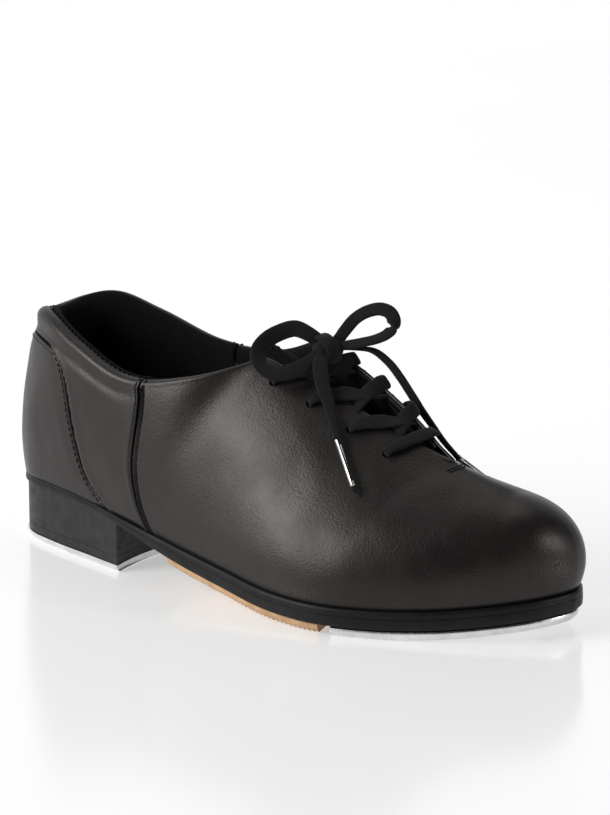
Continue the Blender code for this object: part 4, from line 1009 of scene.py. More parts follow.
def make_quarter(name, side):
    column, v, shape = grid(quarter_columns(), QUARTER_ROWS)
    seam = curve_through(SIDE_SEAM, v)[:, 0]
    t = SEAM_TOP - column
    t = seam - t * np.interp(t, (0, 0.03, SEAM_TOP), (1, 1, 0)) - (t / SEAM_TOP * seam) * np.interp(
        t, (0, 0.03, SEAM_TOP), (0, 0, 1))
    t = np.maximum(t, 0.0011)
    distance = (seam - t) * millimetres_round(side, t, v)
    height = np.where(distance < 6, seam_relief(distance), 0.0)
    past = (t - cover_edge(v)) * millimetres_round(side, t, v)
    beside = np.where((v < COVER_TOP + 0.02) & (past > 0), 0.38 * np.exp(-((past - 3.0) / 2.2) ** 2), 0.0)
    plain = skin(side, t, v)
    calm = ease((1 - v) / 0.1)
    height = height + beside * calm + pulled_leather(plain, v) * calm - under_cover(t, v)
    neck = -0.9 * np.exp(-((v - 0.93) / 0.045) ** 2) * np.interp(t, (0, 0.2, 0.3), (1, 0.8, 0.15))
    height = height + neck
    wall = (plain + skin_normal(side, t, v) * height[:, None]).reshape(*shape, 3)
    top = t.reshape(shape)[:, -1]
    rows = []
    for turn in np.linspace(12, 180, 15):
        rows.append(turned_edge(side, top, turn, 0.0, 0.25 * math.sin(math.radians(turn))))
    for drop, tuck in ((0.8, 0.0), (1.5, -0.35), (2.2, 0.0), (3.2, 0.05), (4.6, 0.0)):
        rows.append(turned_edge(side, top, 180, drop, tuck))
    points = np.concatenate([wall, np.stack(rows, axis=1)], axis=1)
    piece = new_piece(name, sheet_mesh(name, points))
    thicken(piece, 1.1)
    return finish_piece(piece, LEATHER)


quarter_lateral = make_quarter("leather_quarter_lateral", -1)
quarter_medial = make_quarter("leather_quarter_medial", 1)
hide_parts("quarter_lateral")
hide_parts("quarter_medial")
print("quarter faces:", len(quarter_lateral.data.polygons))

# %% [markdown]
# ## Counter cover
# A curved piece wraps the heel and is stitched down along its edge. Its edge is thinned and turned, so it
# dips at the very border and again under the stitches. Near the heel, one whole share round or up is worth
# about SHARE_ROUND or SHARE_UP millimetres.

# %% Counter cover
cover_rows = np.concatenate([np.linspace(0, 0.8, 40), np.linspace(0.815, COVER_TOP, 8)])
cover_across = np.concatenate([-np.geomspace(1, 0.86, 12), np.linspace(-0.84, 0.84, 61),
                               np.geomspace(1, 0.86, 12)[::-1]])
SHARE_ROUND, SHARE_UP = 330, 62
across, v, shape = grid(cover_across, cover_rows)
q = across * cover_edge(v)
from_side = (cover_edge(v) - np.abs(q)) * SHARE_ROUND
from_top = (COVER_TOP - v) * SHARE_UP + 24 * np.abs(q)
from_edge = np.minimum(from_side, from_top)
height = (-0.55 * np.exp(-(from_edge / 0.35) ** 2) - 0.26 * np.exp(-((from_edge - 1.5) / 0.35) ** 2)
          + 0.14 * np.exp(-((from_edge - 0.8) / 0.4) ** 2))
plain = both_sides(q, v, 0.0)
height = height + pulled_leather(plain, v) * ease(from_edge / 3) + 0.35 * ease(from_edge / 9) - 0.1
cover_points = both_sides(q, v, height).reshape(*shape, 3)
cover = new_piece("leather_counter_cover", sheet_mesh("leather_counter_cover", cover_points))
thicken(cover, 0.9)
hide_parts("counter_cover")
finish_piece(cover, LEATHER)
print("counter cover faces:", len(cover.data.polygons))

# %% [markdown]
# ## Linings
# Inside, a soft tricot covers everything the foot touches. Near the top it leans inward over the collar
# foam and laps over the end of the leather. The front lining stops just under the facings, and beside the
# collar two strips of it lap over the leather as well.

# %% Lining of the rear and of the vamp
LINING_DEPTH = 3.0
REAR_LINING_END, FRONT_LINING_END = 0.2935, 0.2965


def make_rear_lining():
    half = np.linspace(0, REAR_LINING_END, 56)
    columns = np.concatenate([-half[::-1], half[1:]])
    across, v, shape = grid(columns, np.linspace(0.03, 0.90, 40))
    q = across / SEAM_TOP * curve_through(SIDE_SEAM, v)[:, 0]
    t = np.abs(q)
    rise = ease((v - 0.5) / 0.37)
    depth = LINING_DEPTH + np.maximum(1.6 * (t < cover_edge(v) + 0.02), 0) * (1 - rise)
    depth = np.maximum(depth, LINING_DEPTH + (2 * roll_radius(t) - LINING_DEPTH + 0.15) * rise)
    points = both_sides(q, v, -depth)
    normals = by_side(q, lambda side, mine: skin_normal(side, t[mine], v[mine]))
    points = points + normals * (0.12 * ripple(points, 14, 21))[:, None]
    wall = points.reshape(*shape, 3)
    top = t.reshape(shape)[:, -1]
    out_to_in = []
    for turn, drop in ((180, 2.4), (180, 1.2), (180, 0), (168, 0), (156, 0), (144, 0), (132, 0), (122, 0)):
        swell = 0.95 if turn > 125 else 0.7
        out_to_in.append(by_side(columns, lambda side, mine: turned_edge(side, top[mine], turn, drop, swell)))
    return np.concatenate([wall, np.stack(out_to_in, axis=1)], axis=1)


rear_lining = new_piece("cloth_rear_lining", sheet_mesh("cloth_rear_lining", make_rear_lining()))
thicken(rear_lining, 0.7)
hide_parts("quarter_lining")
finish_piece(rear_lining, CLOTH)

front_half = np.concatenate([np.linspace(FRONT_LINING_END, 0.99, 90), [1.0]])
q, v, shape = grid(np.concatenate([-front_half, front_half[::-1][1:]]), np.linspace(0.03, 0.992, 30))
t = np.where(np.abs(q) < CORNER, vamp_share(np.abs(q), v), np.abs(q))
depth = np.where(np.abs(q) < CORNER, LINING_DEPTH + ease((v - 0.7) / 0.25) * np.maximum(
    2 * roll_radius(t) - LINING_DEPTH + 0.2, 0) * ease((CORNER - np.abs(q)) / 0.05), LINING_DEPTH)
front_points = both_sides(np.sign(q) * t, v, -depth).reshape(*shape, 3)
collar_strips = []
for side in (-1, 1):
    top = np.linspace(FRONT_LINING_END, CORNER - 0.012, 40)
    strip = [turned_edge(side, top, turn, drop, swell) for turn, drop, swell in (
        (180, 5.0, 0.6), (180, 2.5, 0.9), (180, 0, 0.95), (160, 0, 0.95), (140, 0, 0.9), (122, 0, 0.65))]
    collar_strips.append(np.stack(strip, axis=1))
front_mesh = join_sheets("cloth_vamp_lining", [front_points, *collar_strips])
front_lining = new_piece("cloth_vamp_lining", front_mesh)
thicken(front_lining, 0.7)
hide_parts("vamp_lining")
finish_piece(front_lining, CLOTH)
print("lining faces:", len(rear_lining.data.polygons), len(front_lining.data.polygons))

# %% [markdown]
# ## Tongue
# The tongue lies under the facings and arches between them. It is padded cloth with a bound edge, so the
# sheet swells a little in the middle and is pressed thin along its stitched border.

# %% Tongue
TONGUE_DEPTH = LINING_DEPTH + 0.8 + 4.2


def tongue_place(s, w):
    t = np.clip(THROAT - 0.012 - s * (THROAT - 0.012 - CORNER), CORNER, 1)
    wing = np.interp(s, (0, 0.3, 1), (0.93, 0.83, 0.86))
    left = over_skin(-1, t, wing, -TONGUE_DEPTH)
    right = over_skin(1, t, wing, -TONGUE_DEPTH)
    crown = (over_skin(-1, t, 1.0, -TONGUE_DEPTH * 0.95) + over_skin(1, t, 1.0, -TONGUE_DEPTH * 0.95)) / 2
    w = w[:, None]
    points = left * (w * (w - 1) / 2) + crown * (1 - w * w) + right * (w * (w + 1) / 2)
    beyond = np.clip(s - 0.86, 0, 1)[:, None] / 0.14
    lift = np.column_stack([-13.0 + 2 * w * w, 0 * w, 5.5 * (1 - w * w) - 2.0 * w * w]) * beyond
    return points + lift


s_flat, w_flat, shape = grid(np.linspace(0, 1, 90), np.linspace(-1, 1, 44))
tongue_top = tongue_place(s_flat, w_flat)
border = np.minimum((1 - np.abs(w_flat)) * 13, (1 - s_flat) * 80)
press = -0.5 * np.exp(-((border - 2.2) / 0.5) ** 2) - 0.9 * np.exp(-(border / 0.6) ** 2)
tongue_top[:, 2] += press + 0.15 * ripple(tongue_top, 12, 4)
tongue_mesh = join_sheets("padded_tongue", [tongue_top.reshape(*shape, 3)])
tongue = new_piece("padded_tongue", tongue_mesh, "tongue")
thicken(tongue, 2.2)
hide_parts("tongue")
finish_piece(tongue, CLOTH)
print("tongue faces:", len(tongue_mesh.polygons))

# %% [markdown]
# ## Sole unit
# Welt, outsole, taps and heel are flat-lying pieces cut to the same outline. One helper lays a grid over
# the outline at any height, and a list of steps down the edge gives each piece its own profile: a round
# arris, a bevel, or the thin grooves of a stacked heel.

# %% Flat pieces with a worked edge


def share_at(x):
    shares = np.linspace(0, 1, 801)
    return float(np.interp(x, plan_point(-1, shares)[:, 0], shares))


SEAT_TRIM, TRIM_FROM, TRIM_FADE = 1.0, 52, 34


def outline_grid(shares, strips, pull, height, bow):
    """The piece's plan as a grid (along, across), pulled in from the outline, with bowed straight ends."""

    def side_line(side):
        ring = plan_point(side, shares)
        trim = SEAT_TRIM * (1 - ease((ring[:, :1] - TRIM_FROM) / TRIM_FADE)) if pull < 0 else 0.0
        ring = ring - outward(side, shares)[:, :2] * (pull + trim)
        meet = (plan_point(-1, shares) + plan_point(1, shares)) / 2
        ends = (shares <= 0.001) | (shares >= 0.999)
        return np.where(ends[:, None], meet + np.where(shares < 0.5, 1, -1)[:, None] * (pull, 0), ring)

    left, right = side_line(-1), side_line(1)
    w = np.linspace(0, 1, strips + 1)
    flat = left[:, None] * (1 - w)[None, :, None] + right[:, None] * w[None, :, None]
    along = np.arange(len(shares))
    reach = max(3, len(shares) // 6)
    fade = (ease(1 - along / reach) * (shares[0] > 0)
            + ease(1 - (len(shares) - 1 - along) / reach) * (shares[-1] < 1))
    flat[:, :, 0] += bow * 4 * (w * (1 - w))[None, :] * fade[:, None]
    level = height(flat[:, :, 0].ravel()).reshape(flat.shape[:2])
    return np.concatenate([flat, level[:, :, None]], axis=2)


def cut_piece(name, share_from, share_to, top, bottom, steps, bow=0.0, count=120, strips=14):
    """steps go down the edge: (pulled in by, share of the way down). The first and last carry the faces."""
    shares = np.linspace(share_from, share_to, count)
    if share_from == 0:
        shares = np.concatenate([[0, 0.002, 0.005], shares[1:]])
    if share_to == 1:
        shares = np.concatenate([shares[:-1], [0.996, 0.998, 1]])
    layers = []
    for pull, down in steps:
        def height(x, down=down):
            return top(x) * (1 - down) + bottom(x) * down
        layers.append(outline_grid(shares, strips, pull, height, bow))
    n, m = layers[0].shape[:2]
    index = np.arange(n * m).reshape(n, m)
    border = np.concatenate([index[:, 0], index[-1, 1:], index[-2::-1, -1], index[0, -2:0:-1]])
    points = [layers[0].reshape(-1, 3), *[layer.reshape(-1, 3)[border] for layer in layers[1:-1]],
              layers[-1].reshape(-1, 3)]
    quads = np.stack([index[:-1, :-1], index[1:, :-1], index[1:, 1:], index[:-1, 1:]], axis=-1).reshape(-1, 4)
    base = n * m + len(border) * (len(layers) - 2)
    faces = quads.tolist() + (quads[:, ::-1] + base).tolist()
    rings = [border] + [n * m + len(border) * k + np.arange(len(border)) for k in range(len(layers) - 2)]
    rings.append(base + border)
    for upper, lower in zip(rings, rings[1:]):
        faces += np.stack([upper, np.roll(upper, -1), np.roll(lower, -1), lower], axis=-1).tolist()
    mesh = bpy.data.meshes.new(name)
    mesh.from_pydata(to_frame(np.concatenate(points)).tolist(), [], faces)
    return clean_mesh(mesh, merge=1e-6, angle=35)


def round_edge(outer, radius_mm, thick_mm, extra=()):
    """Steps down an edge with both corners rounded. extra adds grooves as (depth, share down)."""
    corner = radius_mm / thick_mm
    turns = np.radians((0, 30, 60, 90))
    steps = [(outer + radius_mm * (1 - math.sin(a)), corner * (1 - math.cos(a))) for a in turns]
    for depth, down in extra:
        steps += [(outer, down - 0.012), (outer + depth, down), (outer, down + 0.012)]
    steps += [(outer + radius_mm * (1 - math.sin(a)), 1 - corner * (1 - math.cos(a))) for a in turns[::-1]]
    return steps


def level(height):
    return lambda x: np.full(np.shape(x), float(height))


def welt_bottom(x):
    return feather_z(x) - GAP - WELT * sole_share(x)


def outsole_top(x):
    return welt_bottom(x) - GAP


def outsole_bottom(x):
    return outsole_top(x) - OUTSOLE * sole_share(x)


# %% Welt, outsole and ball pad
welt = new_piece("sole_welt", cut_piece("sole_welt", 0, 1, lambda x: feather_z(x) - 0.1,
                                        lambda x: welt_bottom(x) - 0.2,
                                        [(-0.3, 0), (-0.75, 0.06), (-1.12, 0.24), (-1.25, 0.5), (-1.27, 1)]))
outsole = new_piece("sole_outsole", cut_piece("sole_outsole", 0, 1, outsole_top, outsole_bottom,
                                              [(-1.28, 0), (-1.34, 0.06), (-1.38, 0.5), (-1.3, 0.86),
                                               (-1.0, 0.97), (-0.6, 1)]))
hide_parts("welt")
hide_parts("outsole")
for piece in (welt, outsole):
    finish_piece(piece, SOLE_EDGE)

RIB_PITCH, RIBS_FROM = 2.1, 140
PAD_FROM, PAD_TO = 104, 184
PAD_THICK, PAD_CLEAR = 3.9, 0.35


def pad_bottom(x):
    ribs = 0.28 * np.cos(2 * np.pi * np.asarray(x) / RIB_PITCH)
    low = np.maximum(outsole_bottom(x) - PAD_THICK, PAD_CLEAR)
    return low + np.clip(ribs, -0.2, 0.28) * (np.asarray(x) > RIBS_FROM)


pad = new_piece("tan_ball_pad", cut_piece(
    "tan_ball_pad", share_at(PAD_FROM), share_at(PAD_TO), lambda x: outsole_bottom(x) - 0.05, pad_bottom,
    [(0.3, 0), (0.0, 0.1), (0.15, 0.45), (0.9, 0.75), (1.9, 1.0)], bow=-7.0, count=190, strips=16))
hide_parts("ball_pad")
finish_piece(pad, TAN_RUBBER)
print("sole pieces done:", len(outsole.data.polygons), "faces in the outsole")

# %% [markdown]
# The heel is a stack: the faint lines round it are the joints between its layers. Its bottom layer and
# the heel tap are separate pieces. The toe tap's top and bottom are distances below the outsole.

# %% Heel stack and taps
HEEL_BREAST, TAP_REAR = 74, 189
HEEL_BOW, TAP_BOW = -4.0, 9.0
LIFT_TOP, HEEL_TAP_TOP = 6.0, 2.65
TOE_TAP_TOP, TOE_TAP_BOTTOM, TOE_TAP_CLEAR = 0.8, 4.4, 0.02
breast, rear = share_at(HEEL_BREAST), share_at(TAP_REAR)
layers = [(0.09, 0.17), (0.10, 0.33), (0.09, 0.48), (0.10, 0.64), (0.09, 0.81)]
heel = new_piece("heel_stack", cut_piece(
    "heel_stack", 0, breast, lambda x: outsole_bottom(x) - 0.1, level(LIFT_TOP + 0.1),
    round_edge(-0.3, 0.10, 17.0, layers), bow=HEEL_BOW, count=70))
lift = new_piece("heel_top_lift", cut_piece(
    "heel_top_lift", 0, breast, level(LIFT_TOP), level(HEEL_TAP_TOP + 0.2),
    round_edge(-0.3, 0.08, 3.1), bow=HEEL_BOW, count=70))
heel_tap = new_piece("tap_heel", cut_piece(
    "tap_heel", 0, breast, level(HEEL_TAP_TOP), level(0.0),
    [(0.9, 0), (0.2, 0.02), (0.0, 0.1), (0.0, 0.3), (0.4, 0.6), (1.2, 0.94), (1.7, 1.0)],
    bow=HEEL_BOW, count=70))
tap_board = new_piece("tap_sound_board", cut_piece(
    "tap_sound_board", rear, 1, lambda x: outsole_bottom(x) - 0.1, lambda x: outsole_bottom(x) - 0.75,
    round_edge(0.8, 0.15, 0.65), bow=TAP_BOW, count=80))
toe_tap = new_piece("tap_toe", cut_piece(
    "tap_toe", rear, 1, lambda x: outsole_bottom(x) - TOE_TAP_TOP,
    lambda x: np.maximum(outsole_bottom(x) - TOE_TAP_BOTTOM, TOE_TAP_CLEAR),
    [(0.9, 0), (0.2, 0.03), (0.0, 0.1), (-0.1, 0.3), (0.2, 0.6), (1.2, 0.92), (1.8, 1.0)],
    bow=TAP_BOW, count=80))
for piece, node, finish, slot in (
        (heel, "heel_block", HEEL_STACK, "heel_black"), (lift, "heel_lift", HEEL_STACK, "heel_black"),
        (heel_tap, "heel_tap", ALUMINIUM, "tap_aluminium"),
        (tap_board, "sound_board", BLACK_BOARD, "sound_board_black"),
        (toe_tap, "toe_tap", ALUMINIUM, "tap_aluminium")):
    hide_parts(node)
    finish_piece(piece, finish)


SEAT_BELOW = -3.0
SEAT_RODS = ((3.1, 5.1), (1.7, 22.0))


def screw_seats(piece, names):
    """Cuts a countersunk seat round each screw, so that its head shows in the tap's face."""
    rods = []
    for name in names:
        low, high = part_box(name)
        middle = (low + high) / 2
        for radius, depth in SEAT_RODS:
            base = low.z + (SEAT_BELOW + depth / 2) * 0.001
            rods.append((Matrix.Translation((middle.x, middle.y, base)), radius, depth))
    cut_rods(piece, "screw_seats", rods, 32, crossing=True)
    smooth_faces(piece.data, 35)


screw_seats(heel_tap, [f"heel_tap_screw_{k}" for k in (1, 2, 3)])
screw_seats(toe_tap, [f"toe_tap_screw_{k}" for k in (1, 2, 3)])
print("heel tap:", len(heel_tap.data.polygons), "faces, toe tap:", len(toe_tap.data.polygons))

# %% [markdown]
# ## Crossing laces
# Three pairs cross up the throat above a straight bar. Each strand comes up out of the gap between the
# facings, lies flat over its own facing, narrows, and dives into its hole. The inner-side strands pass
# over the outer-side ones, so they start a little higher.

# %% Strands over the facings
RIDE = 1.35


def crossing(side, row, lift):
    """The route of one strand and the direction across its width at each point."""
    end, normal, t, v = eyelet_place(side, row)
    other, other_normal, other_t, other_v = eyelet_place(-side, row + 1)
    behind = (t + other_t) / 2
    edges = [over_skin(way, [behind], [0.995], 0.0)[0] for way in (-side, side)]
    middle = (edges[0] + edges[1]) / 2
    toward = edges[1] - edges[0]
    up = np.array([0, 0, 1.0])
    start = edges[0] - toward * 0.15 - up * 3.4
    rise = middle - toward * 0.05 + up * (0.6 + lift)
    edge = over_skin(side, [t + 0.011], [0.992], RIDE + lift * 0.4)[0]
    hover = over_skin(side, [t + 0.004], [(v + 0.985) / 2], RIDE + 0.25)[0]
    mouth = end + normal * 0.9
    through = end - normal * 1.2
    under = end - normal * 3.6
    ahead = unit(edge - rise)
    across = unit(np.cross(ahead, up))
    flat = unit(np.cross(unit(mouth - edge), normal))
    facing = [across, across, 0.5 * (across + flat), flat, flat, flat, flat]
    return [start, rise, edge, hover, mouth, through, under], facing


def place_strand(name, node, route, facing, width):
    mesh, _ = lace_band(name, route, facing, width, (1.4, 1.7, 1.7, 1.7, 1.7, 1.5), spacing=0.6)
    strand = new_piece(name, mesh)
    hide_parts(node)
    return finish_piece(strand, BRAID)


for letter, row in (("c", 2), ("b", 1), ("a", 0)):
    for side, word in ((-1, "lateral"), (1, "medial")):
        route, facing = crossing(side, row, 0.0 if side < 0 else 2.4)
        place_strand(f"braid_cross_{letter}_{word}", f"lace_cross_{letter}_{word}", route, facing,
                     (4.8, 5.4, 6.0, 6.1, 5.4, 3.4, 2.6))

halves = {}
for side in (-1, 1):
    centre, normal, t, v = eyelet_place(side, 3)
    halves[side] = [centre - normal * 3.6, centre - normal * 1.0, centre + normal * 1.0,
                    over_skin(side, [t], [(v + 1) / 2], RIDE)[0], over_skin(side, [t], [0.995], RIDE)[0]]
route = halves[-1] + halves[1][::-1]
place_strand("braid_bar", "lace_bar", route, [(1, 0, -0.35)], (2.6, 3.4, 5.2, 5.4, 5.4, 5.2, 3.4, 2.6))
print("crossings done; holes of the outer side:",
      [tuple(round(float(c), 1) for c in eyelet_place(-1, row)[0]) for row in range(4)])

# %% [markdown]
# ## Knot
# The bow's knot is a wrap of braid pulled tight round the core where the loops and ends meet. A lumpy
# core fills it, and one closed band goes over it, nearly upright.

# %% Knot of the bow
CORE_SIDES = 26
CORE_LONG, CORE_WIDE, CORE_TALL = 6.4, 5.2, 4.0
angle = np.linspace(0, 2 * np.pi, CORE_SIDES, endpoint=False)
core_rings = []
for lean in np.linspace(-0.97, 0.97, 21):
    radius = math.sqrt(1 - lean**2)
    lump = 1 + 0.10 * np.sin(2 * angle + 3 * lean) + 0.06 * np.cos(5 * angle - 2 * lean)
    core_rings.append(np.column_stack([
        np.full(CORE_SIDES, CORE_LONG * lean), CORE_WIDE * radius * np.cos(angle) * lump,
        CORE_TALL * radius * np.sin(angle) * lump]))
core_axis = unit(np.array([0.35, 0.93, 0.10]))
core_up = unit(np.cross(core_axis, (1, 0, -0.25)))
core_side = np.cross(core_up, core_axis)
core = np.array(core_rings)
core = (KNOT_AT + core[..., :1] * core_axis + core[..., 1:2] * core_side + core[..., 2:3] * core_up)
weave = np.stack([core[..., 1], core[..., 0] * 0.8, core[..., 2] * 0], axis=-1)
knot = new_piece("braid_bow_knot", sweep_mesh("braid_bow_knot", core, weave))
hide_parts("bow_knot")
finish_piece(knot, BRAID)
wrap_route = []
for turn in np.radians(np.arange(0, 360, 45)):
    lift = 6.0 * math.cos(turn) * core_side + 4.9 * math.sin(turn) * core_up
    wrap_route.append(KNOT_AT + lift + core_axis * (1.0 * math.sin(turn) - 0.4))
mesh, _ = lace_band("braid_knot_wrap", wrap_route, [core_axis], width=5.8, thickness=1.9, loop=True)
wrap = new_piece("braid_knot_wrap", mesh)
finish_piece(wrap, BRAID)
print("knot size, mm:", np.round(np.ptp(core.reshape(-1, 3), axis=0), 1))

# %% [markdown]
# ## Stitches
# Every stitch is a short tight arch of thread with both ends in the leather. A row is made in one mesh:
# walk along the seam on the surface, and lay one small tube for every stitch pitch.

# %% Stitch rows
STITCH_LENGTH, STITCH_PITCH, THREAD_WIDTH = 2.0, 2.6, 0.52
STITCH_RINGS, STITCH_SIDES = 7, 8


def stitch_row(points, normals, pitch=STITCH_PITCH, long=STITCH_LENGTH, width=THREAD_WIDTH, proud=1.0):
    """Rings of short arched tubes along a line of points lying on the leather."""
    points, normals = np.asarray(points, float), unit(normals)
    run = np.concatenate([[0], np.cumsum(np.linalg.norm(np.diff(points, axis=0), axis=1))])
    arch_share = np.linspace(-0.5, 0.5, STITCH_RINGS)
    lift = np.array([-0.45, 0.05, 0.2, 0.24, 0.2, 0.05, -0.45]) * proud
    around = np.linspace(0, 2 * np.pi, STITCH_SIDES, endpoint=False)
    made = []
    for middle in np.arange(pitch * 0.6, run[-1] - pitch * 0.4, pitch):
        at = middle + arch_share * long
        line = np.column_stack([np.interp(at, run, points[:, k]) for k in range(3)])
        normal = np.column_stack([np.interp(at, run, normals[:, k]) for k in range(3)])
        line = line + normal * lift[:, None]
        across = unit(np.cross(np.gradient(line, axis=0), normal))
        over = unit(np.cross(across, np.gradient(line, axis=0)))
        made.append(line[:, None] + (across[:, None] * np.cos(around)[None, :, None]
                                     + over[:, None] * np.sin(around)[None, :, None]) * width / 2)
    return made


def stitch_piece(name, rows, body="shoe"):
    tubes = [tube for row in rows for tube in row]
    points = np.concatenate([tube.reshape(-1, 3) for tube in tubes])
    faces = []
    around = range(STITCH_SIDES)
    for k in range(len(tubes)):
        rings = [STITCH_SIDES * (STITCH_RINGS * k + i) for i in range(STITCH_RINGS)]
        for a, b in zip(rings, rings[1:]):
            for j in around:
                nxt = (j + 1) % STITCH_SIDES
                faces.append((a + j, a + nxt, b + nxt, b + j))
        faces.append(tuple(rings[0] + j for j in around)[::-1])
        faces.append(tuple(rings[-1] + j for j in around))
    mesh = bpy.data.meshes.new(name)
    mesh.from_pydata(to_frame(points).tolist(), [], faces)
    piece = new_piece(name, clean_mesh(mesh, angle=60), body)
    finish_piece(piece, THREAD)
    print(name, len(tubes), "stitches")
    return piece


def seam_stitches(side, offset):
    """Beside the side seam, from the sole up and over the padded edge."""
    v = np.linspace(0.03, 0.985, 160)
    seam = curve_through(SIDE_SEAM, v)[:, 0]
    t = seam + offset / millimetres_round(side, seam, v)
    normal = skin_normal(side, t, v)
    line = skin(side, t, v) + normal * (seam_relief(abs(offset)) + 0.18)
    turns = np.linspace(8, 150, 24)
    over = np.array([turned_edge(side, [t[-1]], turn, 0.0, 0.05)[0] for turn in turns])
    out, beyond, _ = edge_frame(side, np.array([t[-1]]))
    angle = np.radians(turns)[:, None]
    around = out * np.cos(angle) + beyond * np.sin(angle)
    return stitch_row(np.vstack([line, over]), np.vstack([normal, around]))


rows = [seam_stitches(side, offset) for side in (-1, 1) for offset in (-STITCH_ROW, STITCH_ROW)]
stitch_piece("thread_side_seams", rows)

# %% Stitches of the counter cover and the collar
v = np.linspace(0.02, COVER_TOP - 0.03, 150)
rows = []
for side in (-1, 1):
    t = cover_edge(v) - 1.5 / millimetres_round(side, cover_edge(v), v)
    normal = skin_normal(side, t, v)
    rows.append(stitch_row(skin(side, t, v) + normal * 0.12, normal))
top_q = np.linspace(-1, 1, 50) * (float(cover_edge(np.array([COVER_TOP - 0.03]))[0]) - 0.006)
top_v = np.full(50, COVER_TOP - 0.026)
top_points = both_sides(top_q, top_v, 0.15)
top_normals = both_sides(top_q, top_v, 1.15) - top_points
rows.append(stitch_row(top_points, top_normals))
stitch_piece("thread_counter_cover", rows)

rows = []
for side in (-1, 1):
    t = np.linspace(0.004, 0.285, 220)
    out, _, _ = edge_frame(side, t)
    for turn, swell in ((112, 0.12), (130, 0.95)):
        line = turned_edge(side, t, turn, 0.0, swell)
        rows.append(stitch_row(line, line - (rim(side, t) - out * roll_radius(t)[:, None]), width=0.5))
stitch_piece("thread_collar_binding", rows)

# %% Stitches of the bar tack and the tongue
rows = []
for t_tack in (0.722, 0.731):
    v = np.linspace(0.90, 0.998, 30)
    t = np.full(30, t_tack)
    left, right = over_skin(-1, t, v, 0.05), over_skin(1, t, v, 0.05)
    line = np.vstack([left, right[::-1]])
    normals = np.vstack([skin_normal(-1, t, v), skin_normal(1, t, v)[::-1]])
    rows.append(stitch_row(line, normals, pitch=1.9, long=1.6, width=0.4, proud=0.5))
stitch_piece("thread_bar_tack", rows)

s_edge = np.concatenate([np.linspace(0.2, 0.972, 70), np.full(30, 0.972), np.linspace(0.972, 0.2, 70)])
w_edge = np.concatenate([np.full(70, -0.84), np.linspace(-0.84, 0.84, 30), np.full(70, 0.84)])
edge_points = tongue_place(s_edge, w_edge) + (0, 0, -0.25)
edge_row = stitch_row(edge_points, np.tile((0, 0, 1.0), (len(edge_points), 1)), width=0.5)
stitch_piece("thread_tongue_edge", [edge_row], "tongue")

# %% [markdown]
# ## Finishes of the frame's own pieces
# Boards, foam, cork, shank, screws and nails keep the shape they have in the frame. Each gets its finish
# in its own material slot.

# %% Finish the pieces that stay
KEPT = {
    "heel_counter": BOARD, "toe_puff": BOARD, "insole_board": BOARD, "collar_foam": FOAM,
    "sock_liner": CLOTH, "shank": STEEL, "bottom_filler": CORK,
    "eyelet_stay_lateral": BLACK_BOARD, "eyelet_stay_medial": BLACK_BOARD,
}
for k in (1, 2, 3):
    KEPT[f"toe_tap_screw_{k}"] = KEPT[f"heel_tap_screw_{k}"] = STEEL
for k in (1, 2, 3, 4):
    KEPT[f"heel_nail_{k}"] = STEEL
for node, finish in KEPT.items():
    for slot in bpy.data.objects[node].material_slots:
        slot.link = "OBJECT"
        slot.material = finish.material
print("kept pieces:", len(KEPT))

# %% [markdown]
# ## Floor and light
# The shoe stands on a plain white floor that shines a little, and glows a little too, so that it stays
# white under a soft light.

# %% Floor, room and lights
floor_mesh = bpy.data.meshes.new("studio_floor")
FLOOR_HALF = 9
corners = [(x * FLOOR_HALF, y * FLOOR_HALF, 0) for x, y in ((-1, -1), (1, -1), (1, 1), (-1, 1))]
floor_mesh.from_pydata(corners, [], [(0, 1, 2, 3)])
floor = bpy.data.objects.new("studio_floor", floor_mesh)
bpy.context.scene.collection.objects.link(floor)
floor.location = (0, 0, -0.0001)
FLOOR = Finish("white floor", (0.52, 0.52, 0.52), 0.13, Emission_Color=(1, 1, 1, 1), Emission_Strength=0.46)
FLOOR.rough(FLOOR.noise(3, 2), 0.14, 0.19)
floor_mesh.materials.append(FLOOR.material)

# %% [markdown]
# The room is white, and brightest away from the shoe's toe: a dark flag on that side is what gives black
# leather its shape. The room's brightness therefore falls with direction.

# %% Room with a dark flag
room = bpy.data.worlds.new("white room")
bpy.context.scene.world = room
room.use_nodes = True
room_nodes, room_links = room.node_tree.nodes, room.node_tree.links
background = room_nodes["Background"]
direction = room_nodes.new("ShaderNodeTexCoord").outputs["Generated"]


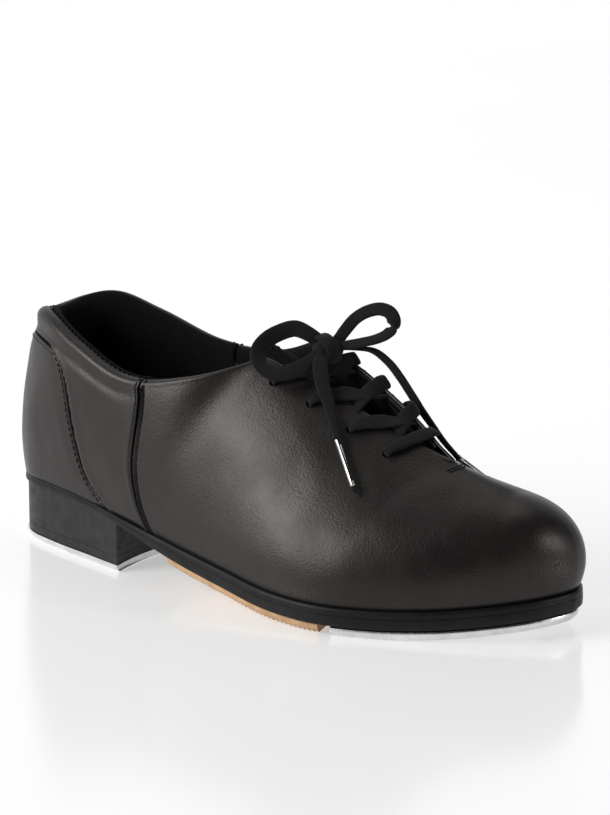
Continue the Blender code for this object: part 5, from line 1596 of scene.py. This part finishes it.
def room_lobe(towards, start, end, low, high):
    """Brightness that changes with the angle to one direction."""
    dot = room_nodes.new("ShaderNodeVectorMath")
    dot.operation = "DOT_PRODUCT"
    room_links.new(direction, dot.inputs[0])
    dot.inputs[1].default_value = unit(towards)
    spread = room_nodes.new("ShaderNodeMapRange")
    spread.interpolation_type = "SMOOTHSTEP"
    for key, value in (("From Min", start), ("From Max", end), ("To Min", low), ("To Max", high)):
        spread.inputs[key].default_value = value
    room_links.new(dot.outputs["Value"], spread.inputs["Value"])
    return spread.outputs["Result"]


def times(first, second):
    product = room_nodes.new("ShaderNodeMath")
    product.operation = "MULTIPLY"
    room_links.new(first, product.inputs[0])
    room_links.new(second, product.inputs[1])
    return product.outputs[0]


straight_up = np.array((0, 0, 1.0))
flag = room_lobe(camera_right * 0.85 + camera_back * 0.5 + straight_up * 0.1, -0.15, 0.62, 1.0, 0.05)
front = room_lobe(camera_back + straight_up * 0.1, 0.1, 0.95, 1.0, 0.18)
above = room_lobe(straight_up, 0.35, 0.9, 1.0, 0.22)
brightness = room_nodes.new("ShaderNodeMix")
room_links.new(room_nodes.new("ShaderNodeLightPath").outputs["Is Camera Ray"], brightness.inputs["Factor"])
room_links.new(times(times(flag, front), above), brightness.inputs["A"])
brightness.inputs["B"].default_value = 1.0
background.inputs["Color"].default_value = (1, 1, 1, 1)
room_links.new(brightness.outputs["Result"], background.inputs["Strength"])
print("room set")

# %% [markdown]
# Three soft lights add direction: a large one to the camera's left, a weak one overhead, and a small one
# on the right that leaves a highlight on the tip of the toe.

# %% Soft lights


def soft_light(name, place, size, watts):
    data = bpy.data.lights.new(name, "AREA")
    data.shape = "RECTANGLE"
    data.size, data.size_y = size
    data.energy = watts
    light = bpy.data.objects.new(name, data)
    bpy.context.scene.collection.objects.link(light)
    light.location = place
    light.rotation_mode = "QUATERNION"
    light.rotation_quaternion = (Vector(shoe_middle) - light.location).to_track_quat("-Z", "Y")
    return light


middle = np.array(shoe_middle)
ahead_flat = unit(camera_back * (1, 1, 0))
for name, right, ahead, up, size, watts in (
        ("key_light", -1.45, 0.5, 0.85, (0.9, 1.0), 23), ("top_light", 0, -0.3, 1.5, (1.5, 1.0), 5),
        ("toe_light", 1.25, 0.5, 0.36, (0.18, 0.18), 5.0)):
    soft_light(name, middle + camera_right * right + ahead_flat * ahead + straight_up * up, size, watts)
bpy.context.scene.view_settings.view_transform = "Standard"
